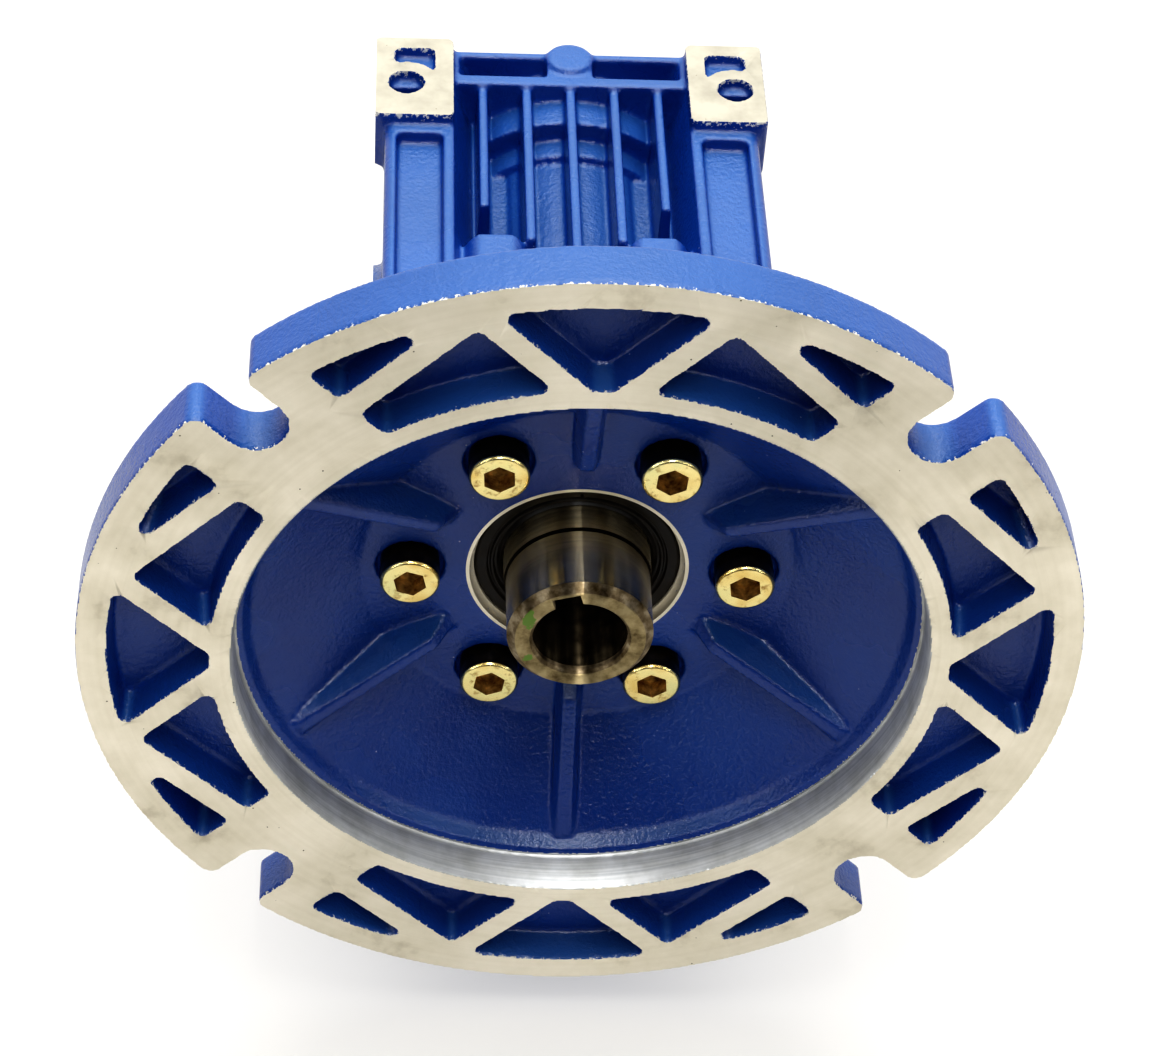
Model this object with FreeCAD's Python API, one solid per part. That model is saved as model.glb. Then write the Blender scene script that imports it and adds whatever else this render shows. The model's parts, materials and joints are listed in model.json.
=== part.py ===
import FreeCAD, Part
import math
import os
from FreeCAD import Vector

# Worm gear reducer, foot mounted, with a round motor flange and a hollow output shaft.
# Millimetres. The origin is the centre of the output bore. X runs along the output shaft,
# Y along the worm away from the motor, and Z up through the worm.

os.makedirs("parts", exist_ok=True)

# Gear set: a one-start worm and a bronze wheel
gear_module = 2.0
wheel_teeth = 30
worm_starts = 1
worm_pitch_radius = 10.0
pressure_angle = 20.0
gear_backlash = 0.20
root_clearance = 0.4
wheel_face_width = 16.0
wheel_edge_height = 0.8
thread_length = 40.0

# Housing casting
housing_half_length = 50.0
machined_boss_rise = 2.5
body_half_width = 33.8
side_face_rise = 1.7
foot_top_above_worm = 31.5
foot_bottom_depth = 50.0
rail_step = 2.0
chamber_clearance = 2.2
chamber_shoulder = 0.5
tunnel_clearance = 1.5

# Feet: four machined pads above and four below
foot_spacing_x = 60.0
foot_spacing_y = 70.0
upper_foot_hole_radius = 3.2
lower_foot_hole_radius = 3.5
foot_pad_width = 14.1
foot_pad_length = 23.2
foot_hole_side_gap = 5.5
foot_hole_end_gap = 13.5
foot_thickness = 12.0
foot_boss_radius = 6.2
foot_pocket_depth = 5.0
foot_pocket_margin = 3.4
foot_corner_radius = 1.2

# Cooling valley with its fins, above and below
valley_top_half_width = 21.5
valley_floor_half_width = 16.8
valley_depth = 12.5
valley_front_gap = 11.5
fin_pitch = 8.0
fin_top_width = 1.7
fin_root_width = 2.6
fin_drop = 0.8
fin_sink = 6.0
side_fin_length = 43.1
outer_fin_length = 34.1
outer_fin_stub_length = 29.5
drum_radius = 20.8
drum_boss_radius = 22.2
drum_boss_length = 11.5
drum_half_width = 11.0
cross_bar_width = 2.8
rear_bar_width = 1.7
rear_pocket_inner_x = 4.2
rear_pocket_outer_x = 20.4
rear_pocket_floor_x = 15.5
rear_pocket_length = 5.3
rear_pocket_depth = 14.0
rear_boss_wall = 6.0
rear_pillar_radius = 4.4
rear_pillar_reach = 2.2
rear_pillar_rise = 0.9
front_boss_radius = 24.5
front_boss_length = 13.5
screw_boss_radius = 5.8
screw_boss_length = 42.5
rail_pocket_inner_x = 23.4
rail_pocket_outer_x = 31.6
rail_pocket_depth = 2.5
rail_pocket_end_gap = 2.4

# Motor flange, with open slots at 45 degrees and a female pilot
flange_radius = 82.55
flange_length = 30.0
rim_thickness = 9.0
pilot_radius = 57.2
pilot_depth = 7.6
pilot_chamfer = 0.5
ledge_width = 1.3
dish_wall_depth = 10.2
dish_wall_slope_width = 1.3
plateau_radius = 36.3
plateau_depth = 22.4
dish_wall_thickness = 5.0
hub_radius = 37.0
hub_edge_depth = 27.0
slot_circle_radius = 74.6
slot_radius = 5.15
slot_mouth_radius = 2.2
pocket_inner_radius = 60.9
pocket_outer_radius = 77.4
pocket_depth = 6.0
pocket_floor_inset = 0.7
pocket_corner_radius = 1.2
rib_a_inner_offset = 37.75
rib_a_outer_offset = 42.0
rib_b_inner_offset = 65.1
rib_b_outer_offset = 69.6
slot_wall_offset = 13.1
dish_rib_top_width = 2.4
dish_rib_root_width = 4.4
dish_rib_inner_radius = 27.5
dish_rib_foot_radius = 24.0
dish_rib_height = 4.8
dish_rib_end_height = 0.8
dish_rib_end_gap = 0.4

# Flange screws, M6 socket head
flange_screw_circle_radius = 28.25
flange_screw_count = 6
m6_radius = 3.0
m6_clearance_radius = 3.3
m6_head_radius = 5.0
m6_head_height = 6.0
m6_socket_across_flats = 5.0
m6_length = 16.0
flange_head_depth = 24.4
counterbore_radius = 5.8
tapped_depth = 14.0

# Hollow worm shaft with the motor bore
motor_bore_radius = 7.94
motor_bore_floor_gap = 2.5
motor_key_width = 4.78
motor_key_height = 2.3
motor_key_angle = 106.0
nose_radius = 12.2
nose_end_depth = 6.0
journal_step_depth = 19.6
shaft_chamfer = 1.4
worm_front_shoulder_radius = 14.0
worm_rear_shoulder_radius = 10.5
thread_end_gap = 1.0
thread_run_out = 2.5
worm_tail_length = 3.0
circlip_groove_depth = 0.5
circlip_thickness = 1.0

# Sealed ball bearings: bore radius, outer radius and width
worm_front_bearing = {"bore": 12.5, "outer": 21.0, "width": 9.0}
worm_rear_bearing = {"bore": 8.5, "outer": 20.0, "width": 12.0}
output_bearing = {"bore": 15.0, "outer": 27.5, "width": 13.0}
ring_shoulder_share = 0.3
ring_chamfer = 0.6
shield_thickness = 0.8
shield_inset = 0.4
shield_gap = 0.05
front_spigot_length = 4.0
rear_bearing_setback = 19.0
output_bearing_seal_gap = 0.5

# Seals, rings and the rear cap
input_seal_radius = 17.5
input_seal_width = 7.0
output_seal_radius = 23.5
output_seal_width = 7.0
seal_lip_gap = 0.05
seal_mouth_chamfer = 0.7
seal_ring_depth = 23.5
o_ring_section = 1.5
bore_clip_thickness = 1.75
bore_clip_grip = 1.2
bore_clip_reach = 2.4
bore_clip_lug_radius = 2.2
bore_clip_half_gap = 5.0
shaft_clip_reach = 2.0
shaft_clip_lug_radius = 1.6
shaft_clip_half_gap = 1.5
rear_cap_length = 4.5
rear_cap_wall = 1.6

# Output shaft and wheel hub
output_bore_radius = 9.0
output_key_width = 6.0
output_key_height = 2.8
output_shaft_reach = 3.5
hub_shoulder_radius = 17.5
wheel_seat_radius = 23.0
output_chamfer = 1.0

# Side cover and the output faces
cover_radius = 44.0
cover_thickness = 9.0
cover_gap = 0.2
opening_edge_gap = 9.75
opening_gap = 0.05
o_ring_end_gap = 1.5
spigot_radius = 30.0
spigot_height = 2.0
output_boss_length = 24.0
output_tap_edge_gap = 6.5
output_tap_depth = 8.0
cover_screw_edge_gap = 4.6
m5_radius = 2.5
m5_clearance_radius = 2.75
m5_head_radius = 4.25
m5_head_height = 5.0
m5_socket_across_flats = 4.0
m5_length = 12.0
m5_tapped_depth = 9.5
cover_head_recess = 5.4

# Oil plug in the rear wall
plug_z = -12.0
plug_thread_radius = 4.0
plug_head_radius = 6.5
plug_head_height = 4.0
plug_socket_across_flats = 5.0
plug_thread_length = 8.0
plug_boss_radius = 9.0
washer_thickness = 1.5

# End panels with upright fins
panel_half_width = 26.0
panel_bottom_z = -34.0
panel_top_gap = 3.0
panel_depth = 3.5

# Places that follow from the sizes above
wheel_pitch_radius = gear_module * wheel_teeth / 2
wheel_throat_radius = wheel_pitch_radius + gear_module
wheel_edge_radius = wheel_throat_radius + wheel_edge_height
wheel_root_radius = wheel_pitch_radius - gear_module - root_clearance
worm_tip_radius = worm_pitch_radius + gear_module
worm_root_radius = worm_pitch_radius - gear_module - root_clearance
thread_pitch = math.pi * gear_module
centre_distance = worm_pitch_radius + wheel_pitch_radius
worm_axis = Vector(0, 0, centre_distance)
cast_half_length = housing_half_length - machined_boss_rise
side_face_x = body_half_width + side_face_rise
foot_top_z = centre_distance + foot_top_above_worm
foot_bottom_z = -foot_bottom_depth
rail_top_z = foot_top_z - rail_step
rail_bottom_z = foot_bottom_z + rail_step
foot_pad_outer_x = foot_spacing_x / 2 + foot_hole_side_gap
foot_pad_inner_x = foot_pad_outer_x - foot_pad_width
foot_pad_far_y = foot_spacing_y / 2 + foot_hole_end_gap
foot_pad_near_y = foot_pad_far_y - foot_pad_length
valley_front_y = valley_front_gap - cast_half_length
valley_rear_y = cast_half_length - rear_bar_width - rear_pocket_length - cross_bar_width
chamber_radius = wheel_edge_radius + chamber_clearance
output_bearing_x = side_face_x - output_seal_width - output_bearing_seal_gap - output_bearing["width"]
chamber_half_width = output_bearing_x - chamber_shoulder
cover_seat_x = side_face_x - cover_thickness
opening_radius = cover_radius - opening_edge_gap
output_screw_circle_radius = cover_radius - output_tap_edge_gap
cover_screw_circle_radius = cover_radius - cover_screw_edge_gap
front_bearing_y = front_spigot_length - housing_half_length
rear_bearing_y = housing_half_length - rear_bearing_setback
rear_boss_radius = worm_rear_bearing["outer"] + rear_boss_wall
flange_face_y = -housing_half_length - flange_length
ledge_inner_radius = pilot_radius - ledge_width
dish_wall_radius = ledge_inner_radius - dish_wall_slope_width
dish_rise = (plateau_depth - dish_wall_depth) / (dish_wall_radius - plateau_radius)


def block(x0, x1, y0, y1, z0, z1):
    return Part.makeBox(x1 - x0, y1 - y0, z1 - z0, Vector(x0, y0, z0))


def turned(points, origin, axis, radial):
    """Revolve a closed outline of (axial, radius) points about an axis."""
    corners = [origin + axis * a + radial * r for a, r in points]
    outline = Part.makePolygon(corners + [corners[0]])
    return Part.Face(outline).revolve(origin, axis, 360)


def turned_on_worm(points):
    return turned(points, worm_axis, Vector(0, 1, 0), Vector(0, 0, 1))


def turned_on_output(points):
    return turned(points, Vector(0, 0, 0), Vector(1, 0, 0), Vector(0, 0, 1))


def worm_cylinder(radius, y0, y1):
    return Part.makeCylinder(radius, y1 - y0, Vector(0, y0, centre_distance), Vector(0, 1, 0))


def output_cylinder(radius, x0, x1):
    return Part.makeCylinder(radius, x1 - x0, Vector(x0, 0, 0), Vector(1, 0, 0))


def prism(points, direction):
    return Part.Face(Part.makePolygon(points + [points[0]])).extrude(direction)


def fused(shapes):
    return shapes[0].fuse(shapes[1:]).removeSplitter()


def mirrored(shape, normal):
    return shape.mirror(Vector(0, 0, 0), normal)


def with_twins(shape, normal):
    """The shape and its mirror image through the origin plane with this normal."""
    return [shape, mirrored(shape, normal)]


def on_circle(radius, angle, y=0.0):
    """A point round the worm axis; 0 degrees is +X and 90 is +Z."""
    turn = math.radians(angle)
    return Vector(radius * math.cos(turn), y, centre_distance + radius * math.sin(turn))


def upright_edges(shape, direction):
    """The straight edges of a solid that run along a direction, for rounding."""
    found = []
    for edge in shape.Edges:
        if edge.Curve.TypeId == "Part::GeomLine":
            run = edge.Vertexes[1].Point - edge.Vertexes[0].Point
            if run.cross(direction).Length < 1e-6 * run.Length:
                found.append(edge)
    return found


def hexagon_prism(across_flats, length, centre, direction):
    """A hexagonal socket, ready to be cut from a screw head."""
    corner_radius = across_flats / math.sqrt(3)
    side = Vector(0, 0, 1).cross(direction)
    if side.Length < 0.5:
        side = Vector(1, 0, 0)
    up = direction.cross(side)
    corners = []
    for index in range(6):
        turn = math.radians(60 * index)
        offset = side * (corner_radius * math.cos(turn)) + up * (corner_radius * math.sin(turn))
        corners.append(centre + offset)
    return prism(corners, direction * length)


def socket_screw(seat, into, radius, head_radius, head_height, flats, length):
    """A socket head cap screw. The seat is under the head, and into is the way the shank points."""
    chamfer = 0.1 * head_radius
    outline = [
        (-head_height, 0),
        (-head_height, head_radius - chamfer),
        (chamfer - head_height, head_radius),
        (0, head_radius),
        (0, radius),
        (length - chamfer, radius),
        (length, radius - chamfer),
        (length, 0),
    ]
    side = Vector(0, 0, 1)
    if abs(into.z) > 0.5:
        side = Vector(1, 0, 0)
    screw = turned(outline, seat, into, side)
    socket = hexagon_prism(flats, head_height * 0.55, seat - into * head_height, into)
    return screw.cut(socket)


def bearing_pieces(sizes, start, turn_outline):
    """Outer ring, inner ring and the two shields of a sealed bearing that starts at an axial place."""
    bore = sizes["bore"]
    outer = sizes["outer"]
    end = start + sizes["width"]
    ring = (outer - bore) * ring_shoulder_share
    track = outer - ring
    shoulder = bore + ring
    outer_ring = turn_outline([
        (start, track),
        (start, outer - ring_chamfer),
        (start + ring_chamfer, outer),
        (end - ring_chamfer, outer),
        (end, outer - ring_chamfer),
        (end, track),
    ])
    inner_ring = turn_outline([
        (start, shoulder),
        (start, bore + ring_chamfer),
        (start + ring_chamfer, bore),
        (end - ring_chamfer, bore),
        (end, bore + ring_chamfer),
        (end, shoulder),
    ])
    shields = []
    for near in (start + shield_inset, end - shield_inset - shield_thickness):
        far = near + shield_thickness
        shields.append(turn_outline([
            (near, track),
            (far, track),
            (far, shoulder + shield_gap),
            (near, shoulder + shield_gap),
        ]))
    return outer_ring, inner_ring, Part.makeCompound(shields)


def seal_ring(outer_radius, shaft_radius, start, width, turn_outline):
    """A rubber oil seal: a body in its bore and a lip that runs on the shaft."""
    lip_radius = shaft_radius + seal_lip_gap
    web_radius = (outer_radius + lip_radius) / 2
    round_off = 0.1 * width
    return turn_outline([
        (start, outer_radius - round_off),
        (start + round_off, outer_radius),
        (start + width, outer_radius),
        (start + width, outer_radius - 0.25 * width),
        (start + 0.4 * width, web_radius + 0.1 * width),
        (start + 0.6 * width, lip_radius + 0.1 * width),
        (start + 0.6 * width, lip_radius),
        (start + 0.15 * width, lip_radius),
        (start, lip_radius + 0.15 * width),
    ])


def o_ring(groove_radius, start, turn_outline):
    """An O-ring in its groove, squeezed to a rounded square."""
    size = o_ring_section
    corner = 0.3 * size
    return turn_outline([
        (start, groove_radius + corner),
        (start + corner, groove_radius),
        (start + size - corner, groove_radius),
        (start + size, groove_radius + corner),
        (start + size, groove_radius + size - corner),
        (start + size - corner, groove_radius + size),
        (start + corner, groove_radius + size),
        (start, groove_radius + size - corner),
    ])


# Wheel and worm


def involute_angle(radius, base_radius):
    """The polar angle that an involute has turned through at a radius."""
    if radius <= base_radius:
        return 0.0
    roll = math.acos(base_radius / radius)
    return math.tan(roll) - roll


def wheel_outline(x, twist):
    """The toothed outline of the wheel in one plane across its axis, turned by a twist angle."""
    base_radius = wheel_pitch_radius * math.cos(math.radians(pressure_angle))
    half_tooth = (math.pi * gear_module - gear_backlash) / (4 * wheel_pitch_radius)
    half_tooth += involute_angle(wheel_pitch_radius, base_radius)
    flank_radii = [base_radius + (wheel_edge_radius - base_radius) * share for share in (0, 0.3, 0.65, 1)]
    tooth_step = 2 * math.pi / wheel_teeth

    def corner(radius, angle):
        return Vector(x, -radius * math.sin(angle), radius * math.cos(angle))

    points = []
    for index in range(wheel_teeth):
        middle = (index + 0.5) * tooth_step + twist
        left = [corner(wheel_root_radius, middle - half_tooth)]
        right = [corner(wheel_root_radius, middle + half_tooth)]
        for radius in flank_radii:
            spread = half_tooth - involute_angle(radius, base_radius)
            left.append(corner(radius, middle - spread))
            right.append(corner(radius, middle + spread))
        points += left + list(reversed(right))
    return Part.makePolygon(points + [points[0]])


def worm_wheel_rim():
    """The bronze rim, with involute flanks that lean with the thread and a throat round the worm."""
    half_width = wheel_face_width / 2
    lead = worm_starts * thread_pitch
    twist = half_width * lead / (2 * math.pi * worm_pitch_radius * wheel_pitch_radius)
    gear = Part.makeLoft([wheel_outline(-half_width, -twist), wheel_outline(half_width, twist)], True, True)
    throat_radius = centre_distance - wheel_throat_radius
    throat = Part.makeTorus(centre_distance, throat_radius, Vector(0, 0, 0), Vector(1, 0, 0))
    bore = output_cylinder(wheel_seat_radius, -half_width, half_width)
    return gear.cut(throat).cut(bore)


def worm_thread():
    """One start of trapezoid thread, with its crest over the wheel's axis at the lowest point."""
    lead = worm_starts * thread_pitch
    slope = math.tan(math.radians(pressure_angle))
    sunk_radius = worm_root_radius - 0.3
    half_pitch_width = (math.pi * gear_module - gear_backlash) / 4
    half_tip = half_pitch_width - gear_module * slope
    half_root = half_pitch_width + (worm_pitch_radius - sunk_radius) * slope
    length = thread_length - lead
    path = Part.makeHelix(lead, length, worm_pitch_radius)
    section = Part.makePolygon([
        Vector(sunk_radius, 0, -half_root),
        Vector(worm_tip_radius, 0, -half_tip),
        Vector(worm_tip_radius, 0, half_tip),
        Vector(sunk_radius, 0, half_root),
        Vector(sunk_radius, 0, -half_root),
    ])
    thread = Part.Wire(path.Edges).makePipeShell([section], True, True)
    thread.rotate(Vector(0, 0, 0), Vector(1, 0, 0), -90)
    turns_before_middle = math.floor(length / (2 * lead))
    thread.translate(Vector(0, -lead / 4 - turns_before_middle * lead, centre_distance))
    return thread


def worm_shaft():
    """The hollow input shaft and worm in one piece."""
    tip_y = flange_face_y + nose_end_depth
    journal_y = flange_face_y + journal_step_depth
    front_seat_y = front_bearing_y + worm_front_bearing["width"]
    rear_end_y = rear_bearing_y + worm_rear_bearing["width"]
    half_thread = thread_length / 2
    tail_radius = worm_rear_bearing["bore"]
    groove_y = rear_end_y + circlip_thickness
    tail_y = groove_y + worm_tail_length
    root_end_y = half_thread + thread_end_gap
    shoulder_y = root_end_y + thread_run_out
    outline = [
        (tip_y, 0),
        (tip_y, nose_radius - shaft_chamfer),
        (tip_y + shaft_chamfer, nose_radius),
        (journal_y, nose_radius),
        (journal_y, worm_front_bearing["bore"]),
        (front_seat_y, worm_front_bearing["bore"]),
        (front_seat_y, worm_front_shoulder_radius),
        (-shoulder_y, worm_front_shoulder_radius),
        (-root_end_y, worm_root_radius),
        (root_end_y, worm_root_radius),
        (shoulder_y, worm_rear_shoulder_radius),
        (rear_bearing_y, worm_rear_shoulder_radius),
        (rear_bearing_y, tail_radius),
        (rear_end_y, tail_radius),
        (rear_end_y, tail_radius - circlip_groove_depth),
        (groove_y, tail_radius - circlip_groove_depth),
        (groove_y, tail_radius),
        (tail_y - 0.8, tail_radius),
        (tail_y, tail_radius - 0.8),
        (tail_y, 0),
    ]
    shaft = turned_on_worm(outline).fuse(worm_thread())
    bore_end_y = -shoulder_y - motor_bore_floor_gap
    drill_point = motor_bore_radius / math.tan(math.radians(59))
    bore = turned_on_worm([
        (tip_y, 0),
        (tip_y, motor_bore_radius + 0.6),
        (tip_y + 0.6, motor_bore_radius),
        (bore_end_y, motor_bore_radius),
        (bore_end_y + drill_point, 0),
    ])
    half_key = motor_key_width / 2
    key_top_z = centre_distance + motor_bore_radius + motor_key_height
    keyway = block(-half_key, half_key, tip_y, bore_end_y, centre_distance, key_top_z)
    keyway.rotate(worm_axis, Vector(0, 1, 0), 90 - motor_key_angle)
    return shaft.cut(bore).cut(keyway)


def hollow_output_shaft():
    """The hollow output shaft with the wheel's hub."""
    half_hub = wheel_face_width / 2
    half_length = side_face_x + output_shaft_reach
    seat_radius = output_bearing["bore"]
    half_outline = [
        (half_hub, wheel_seat_radius),
        (half_hub, hub_shoulder_radius + 2.0),
        (half_hub + 2.0, hub_shoulder_radius),
        (output_bearing_x, hub_shoulder_radius),
        (output_bearing_x, seat_radius),
        (half_length - output_chamfer, seat_radius),
        (half_length, seat_radius - output_chamfer),
        (half_length, output_bore_radius + output_chamfer),
        (half_length - output_chamfer, output_bore_radius),
    ]
    outline = half_outline + [(-x, radius) for x, radius in reversed(half_outline)]
    shaft = turned_on_output(outline)
    half_key = output_key_width / 2
    key_top_z = output_bore_radius + output_key_height
    keyway = block(-half_length, half_length, -half_key, half_key, 0, key_top_z)
    return shaft.cut(keyway)


def retaining_ring(inner_radius, outer_radius, start, thickness, lug_radius, half_gap):
    """A circlip round the worm axis, open at the bottom, with an eyed lug at each end."""
    ring = worm_cylinder(outer_radius, start, start + thickness)
    ring = ring.cut(worm_cylinder(inner_radius, start, start + thickness))
    low_z = centre_distance - outer_radius - 1
    gap = block(-half_gap, half_gap, start, start + thickness, low_z, centre_distance)
    ring = ring.cut(gap)
    middle = (inner_radius + outer_radius) / 2
    for side in (-1, 1):
        turn = -90 + side * math.degrees((half_gap + lug_radius) / middle)
        centre = on_circle(middle, turn, start)
        lug = Part.makeCylinder(lug_radius, thickness, centre, Vector(0, 1, 0))
        eye = Part.makeCylinder(lug_radius * 0.45, thickness, centre, Vector(0, 1, 0))
        band = worm_cylinder(outer_radius, start, start + thickness)
        band = band.cut(worm_cylinder(inner_radius, start, start + thickness))
        ring = ring.fuse(lug.common(band)).cut(eye)
    return ring


# Motor flange


def flange_body():
    """The turned form of the motor flange: rim, pilot, dished wall, hub and spigot."""
    face = flange_face_y
    back_depth = rim_thickness
    wall = dish_wall_thickness * math.hypot(1, dish_rise)
    back_outer_radius = dish_wall_radius - (back_depth - dish_wall_depth - wall) / dish_rise
    back_hub_radius = dish_wall_radius - (hub_edge_depth - dish_wall_depth - wall) / dish_rise
    spigot_end = flange_length + front_spigot_length
    seal_end = seal_ring_depth + input_seal_width
    lip_radius = worm_front_bearing["bore"] + 2.5
    groove_start = flange_length + 1.0
    spigot_outer = worm_front_bearing["outer"] - opening_gap
    groove_floor = worm_front_bearing["outer"] - o_ring_section
    outline = [
        (0, flange_radius),
        (0, pilot_radius + pilot_chamfer),
        (pilot_chamfer, pilot_radius),
        (pilot_depth, pilot_radius),
        (pilot_depth, ledge_inner_radius),
        (dish_wall_depth, dish_wall_radius),
        (plateau_depth, plateau_radius),
        (plateau_depth, input_seal_radius + seal_mouth_chamfer + 0.1),
        (seal_ring_depth, input_seal_radius + seal_mouth_chamfer),
        (seal_ring_depth + 0.6, input_seal_radius),
        (seal_end + 0.6, input_seal_radius),
        (seal_end + 0.6, lip_radius),
        (spigot_end, lip_radius),
        (spigot_end, spigot_outer),
        (groove_start + o_ring_section, spigot_outer),
        (groove_start + o_ring_section, groove_floor),
        (groove_start, groove_floor),
        (groove_start, spigot_outer),
        (flange_length, spigot_outer),
        (flange_length, hub_radius),
        (hub_edge_depth, max(hub_radius, back_hub_radius)),
        (back_depth, back_outer_radius),
        (back_depth, flange_radius),
    ]
    return turned_on_worm([(face + depth, radius) for depth, radius in outline])


def slot_point(along, across, slot_angle, side, depth):
    """A point of the rim truss, along and across the centre line of one open slot."""
    radius = math.hypot(along, across)
    turn = slot_angle - side * math.degrees(math.atan2(across, along))
    return on_circle(radius, turn, flange_face_y + depth)


def arc_between(start, end, radius):
    middle = (start + end) * 0.5 - worm_axis
    middle.y = 0
    middle = worm_axis + middle.normalize() * radius
    middle.y = start.y
    return Part.Arc(start, middle, end).toShape()


def truss_outlines(inset, depth):
    """Outlines of the rim pockets by the slot at 45 degrees, each moved in by an inset."""
    inner = pocket_inner_radius + inset
    outer = pocket_outer_radius - inset
    rib_a_outer = rib_a_outer_offset + inset
    rib_a_inner = rib_a_inner_offset - inset
    rib_b_inner = rib_b_inner_offset - inset
    rib_b_outer = rib_b_outer_offset + inset
    slot_wall = slot_wall_offset + inset

    def along(radius, across):
        return math.sqrt(radius * radius - across * across)

    def place(run, across, slot_angle=45, side=-1):
        return slot_point(run, across, slot_angle, side, depth)

    wires = []
    corners = [
        place(along(inner, rib_a_outer), rib_a_outer),
        place(along(outer, rib_a_outer), rib_a_outer),
        place(along(outer, rib_a_outer), rib_a_outer, 135, 1),
        place(along(inner, rib_a_outer), rib_a_outer, 135, 1),
    ]
    wires.append(Part.Wire([
        Part.makeLine(corners[0], corners[1]),
        arc_between(corners[1], corners[2], outer),
        Part.makeLine(corners[2], corners[3]),
        arc_between(corners[3], corners[0], inner),
    ]))
    for side in (-1, 1):
        corners = [
            place(along(inner, rib_a_inner), rib_a_inner, 45, side),
            place(rib_b_inner, rib_a_inner, 45, side),
            place(rib_b_inner, slot_wall, 45, side),
            place(along(inner, slot_wall), slot_wall, 45, side),
        ]
        wires.append(Part.Wire([
            Part.makeLine(corners[0], corners[1]),
            Part.makeLine(corners[1], corners[2]),
            Part.makeLine(corners[2], corners[3]),
            arc_between(corners[3], corners[0], inner),
        ]))
        corners = [
            place(rib_b_outer, slot_wall, 45, side),
            place(along(outer, slot_wall), slot_wall, 45, side),
            place(rib_b_outer, along(outer, rib_b_outer), 45, side),
        ]
        wires.append(Part.Wire([
            Part.makeLine(corners[0], corners[1]),
            arc_between(corners[1], corners[2], outer),
            Part.makeLine(corners[2], corners[0]),
        ]))
    return wires


def rim_pockets():
    """The drafted pockets that leave a truss of ribs round the rim."""
    quarter = []
    at_face = truss_outlines(0.0, 0.0)
    at_floor = truss_outlines(pocket_floor_inset, pocket_depth)
    for face_wire, floor_wire in zip(at_face, at_floor):
        pocket = Part.makeLoft([face_wire, floor_wire], True, True)
        sides = [edge for edge in pocket.Edges if abs(edge.Vertexes[0].Y - edge.Vertexes[-1].Y) > 1]
        quarter.append(pocket.makeFillet(pocket_corner_radius, sides))
    pockets = []
    for turn in range(0, 360, 90):
        for pocket in quarter:
            copy = pocket.copy()
            copy.rotate(worm_axis, Vector(0, 1, 0), turn)
            pockets.append(copy)
    return pockets


def rim_slots():
    """The open bolt slots, with round bottoms and rounded mouths."""
    reach = flange_radius + 2
    mouth_run = math.sqrt((flange_radius - slot_mouth_radius) ** 2 - (slot_radius + slot_mouth_radius) ** 2)
    slots = []
    for angle in range(45, 360, 90):
        y0 = flange_face_y - 1
        thickness = rim_thickness + 2
        out = on_circle(1, angle) - worm_axis
        across = Vector(-out.z, 0, out.x)
        bottom = on_circle(slot_circle_radius, angle, y0)
        centre = Vector(0, y0, centre_distance)
        slot = Part.makeCylinder(slot_radius, thickness, bottom, Vector(0, 1, 0))
        mouth = prism([
            bottom + across * slot_radius,
            bottom - across * slot_radius,
            centre + out * reach - across * slot_radius,
            centre + out * reach + across * slot_radius,
        ], Vector(0, thickness, 0))
        slot = slot.fuse(mouth)
        flare_half = slot_radius + slot_mouth_radius
        flare = prism([
            centre + out * mouth_run + across * flare_half,
            centre + out * mouth_run - across * flare_half,
            centre + out * reach - across * flare_half,
            centre + out * reach + across * flare_half,
        ], Vector(0, thickness, 0))
        for side in (-1, 1):
            corner = centre + out * mouth_run + across * (side * flare_half)
            flare = flare.cut(Part.makeCylinder(slot_mouth_radius, thickness, corner, Vector(0, 1, 0)))
        slots.append(slot.fuse(flare))
    return slots


def dish_ribs():
    """The six ribs that stiffen the dish between the screws; each ridge runs down to the dish's edge."""
    inner_face = flange_face_y + plateau_depth
    ridge_y = inner_face - dish_rib_height
    outer_radius = dish_wall_radius - dish_rib_end_gap
    outer_y = flange_face_y + dish_wall_depth - dish_rib_end_height
    back_y = inner_face + 2.0
    half_top = dish_rib_top_width / 2
    half_root = dish_rib_root_width / 2
    ribs = []
    for index in range(flange_screw_count):
        angle = 360 / flange_screw_count * (index + 0.5)

        def section(radius, top_y):
            centre = on_circle(radius, angle)
            across = Vector(0, 1, 0).cross((centre - worm_axis).normalize())
            surface_depth = min(plateau_depth, dish_wall_depth + dish_rise * (dish_wall_radius - radius))
            top = Vector(centre.x, top_y, centre.z)
            foot = Vector(centre.x, flange_face_y + surface_depth, centre.z)
            root = Vector(centre.x, back_y, centre.z)
            return Part.makePolygon([
                top - across * half_top,
                top + across * half_top,
                foot + across * half_root,
                root + across * half_root,
                root - across * half_root,
                foot - across * half_root,
                top - across * half_top,
            ])

        long_part = Part.makeLoft([
            section(dish_rib_inner_radius, ridge_y),
            section(outer_radius, outer_y),
        ], True, True)
        foot_part = Part.makeLoft([
            section(dish_rib_foot_radius, inner_face - 0.2),
            section(dish_rib_inner_radius, ridge_y),
        ], True, True)
        ribs.append(long_part)
        ribs.append(foot_part)
    return ribs


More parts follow.
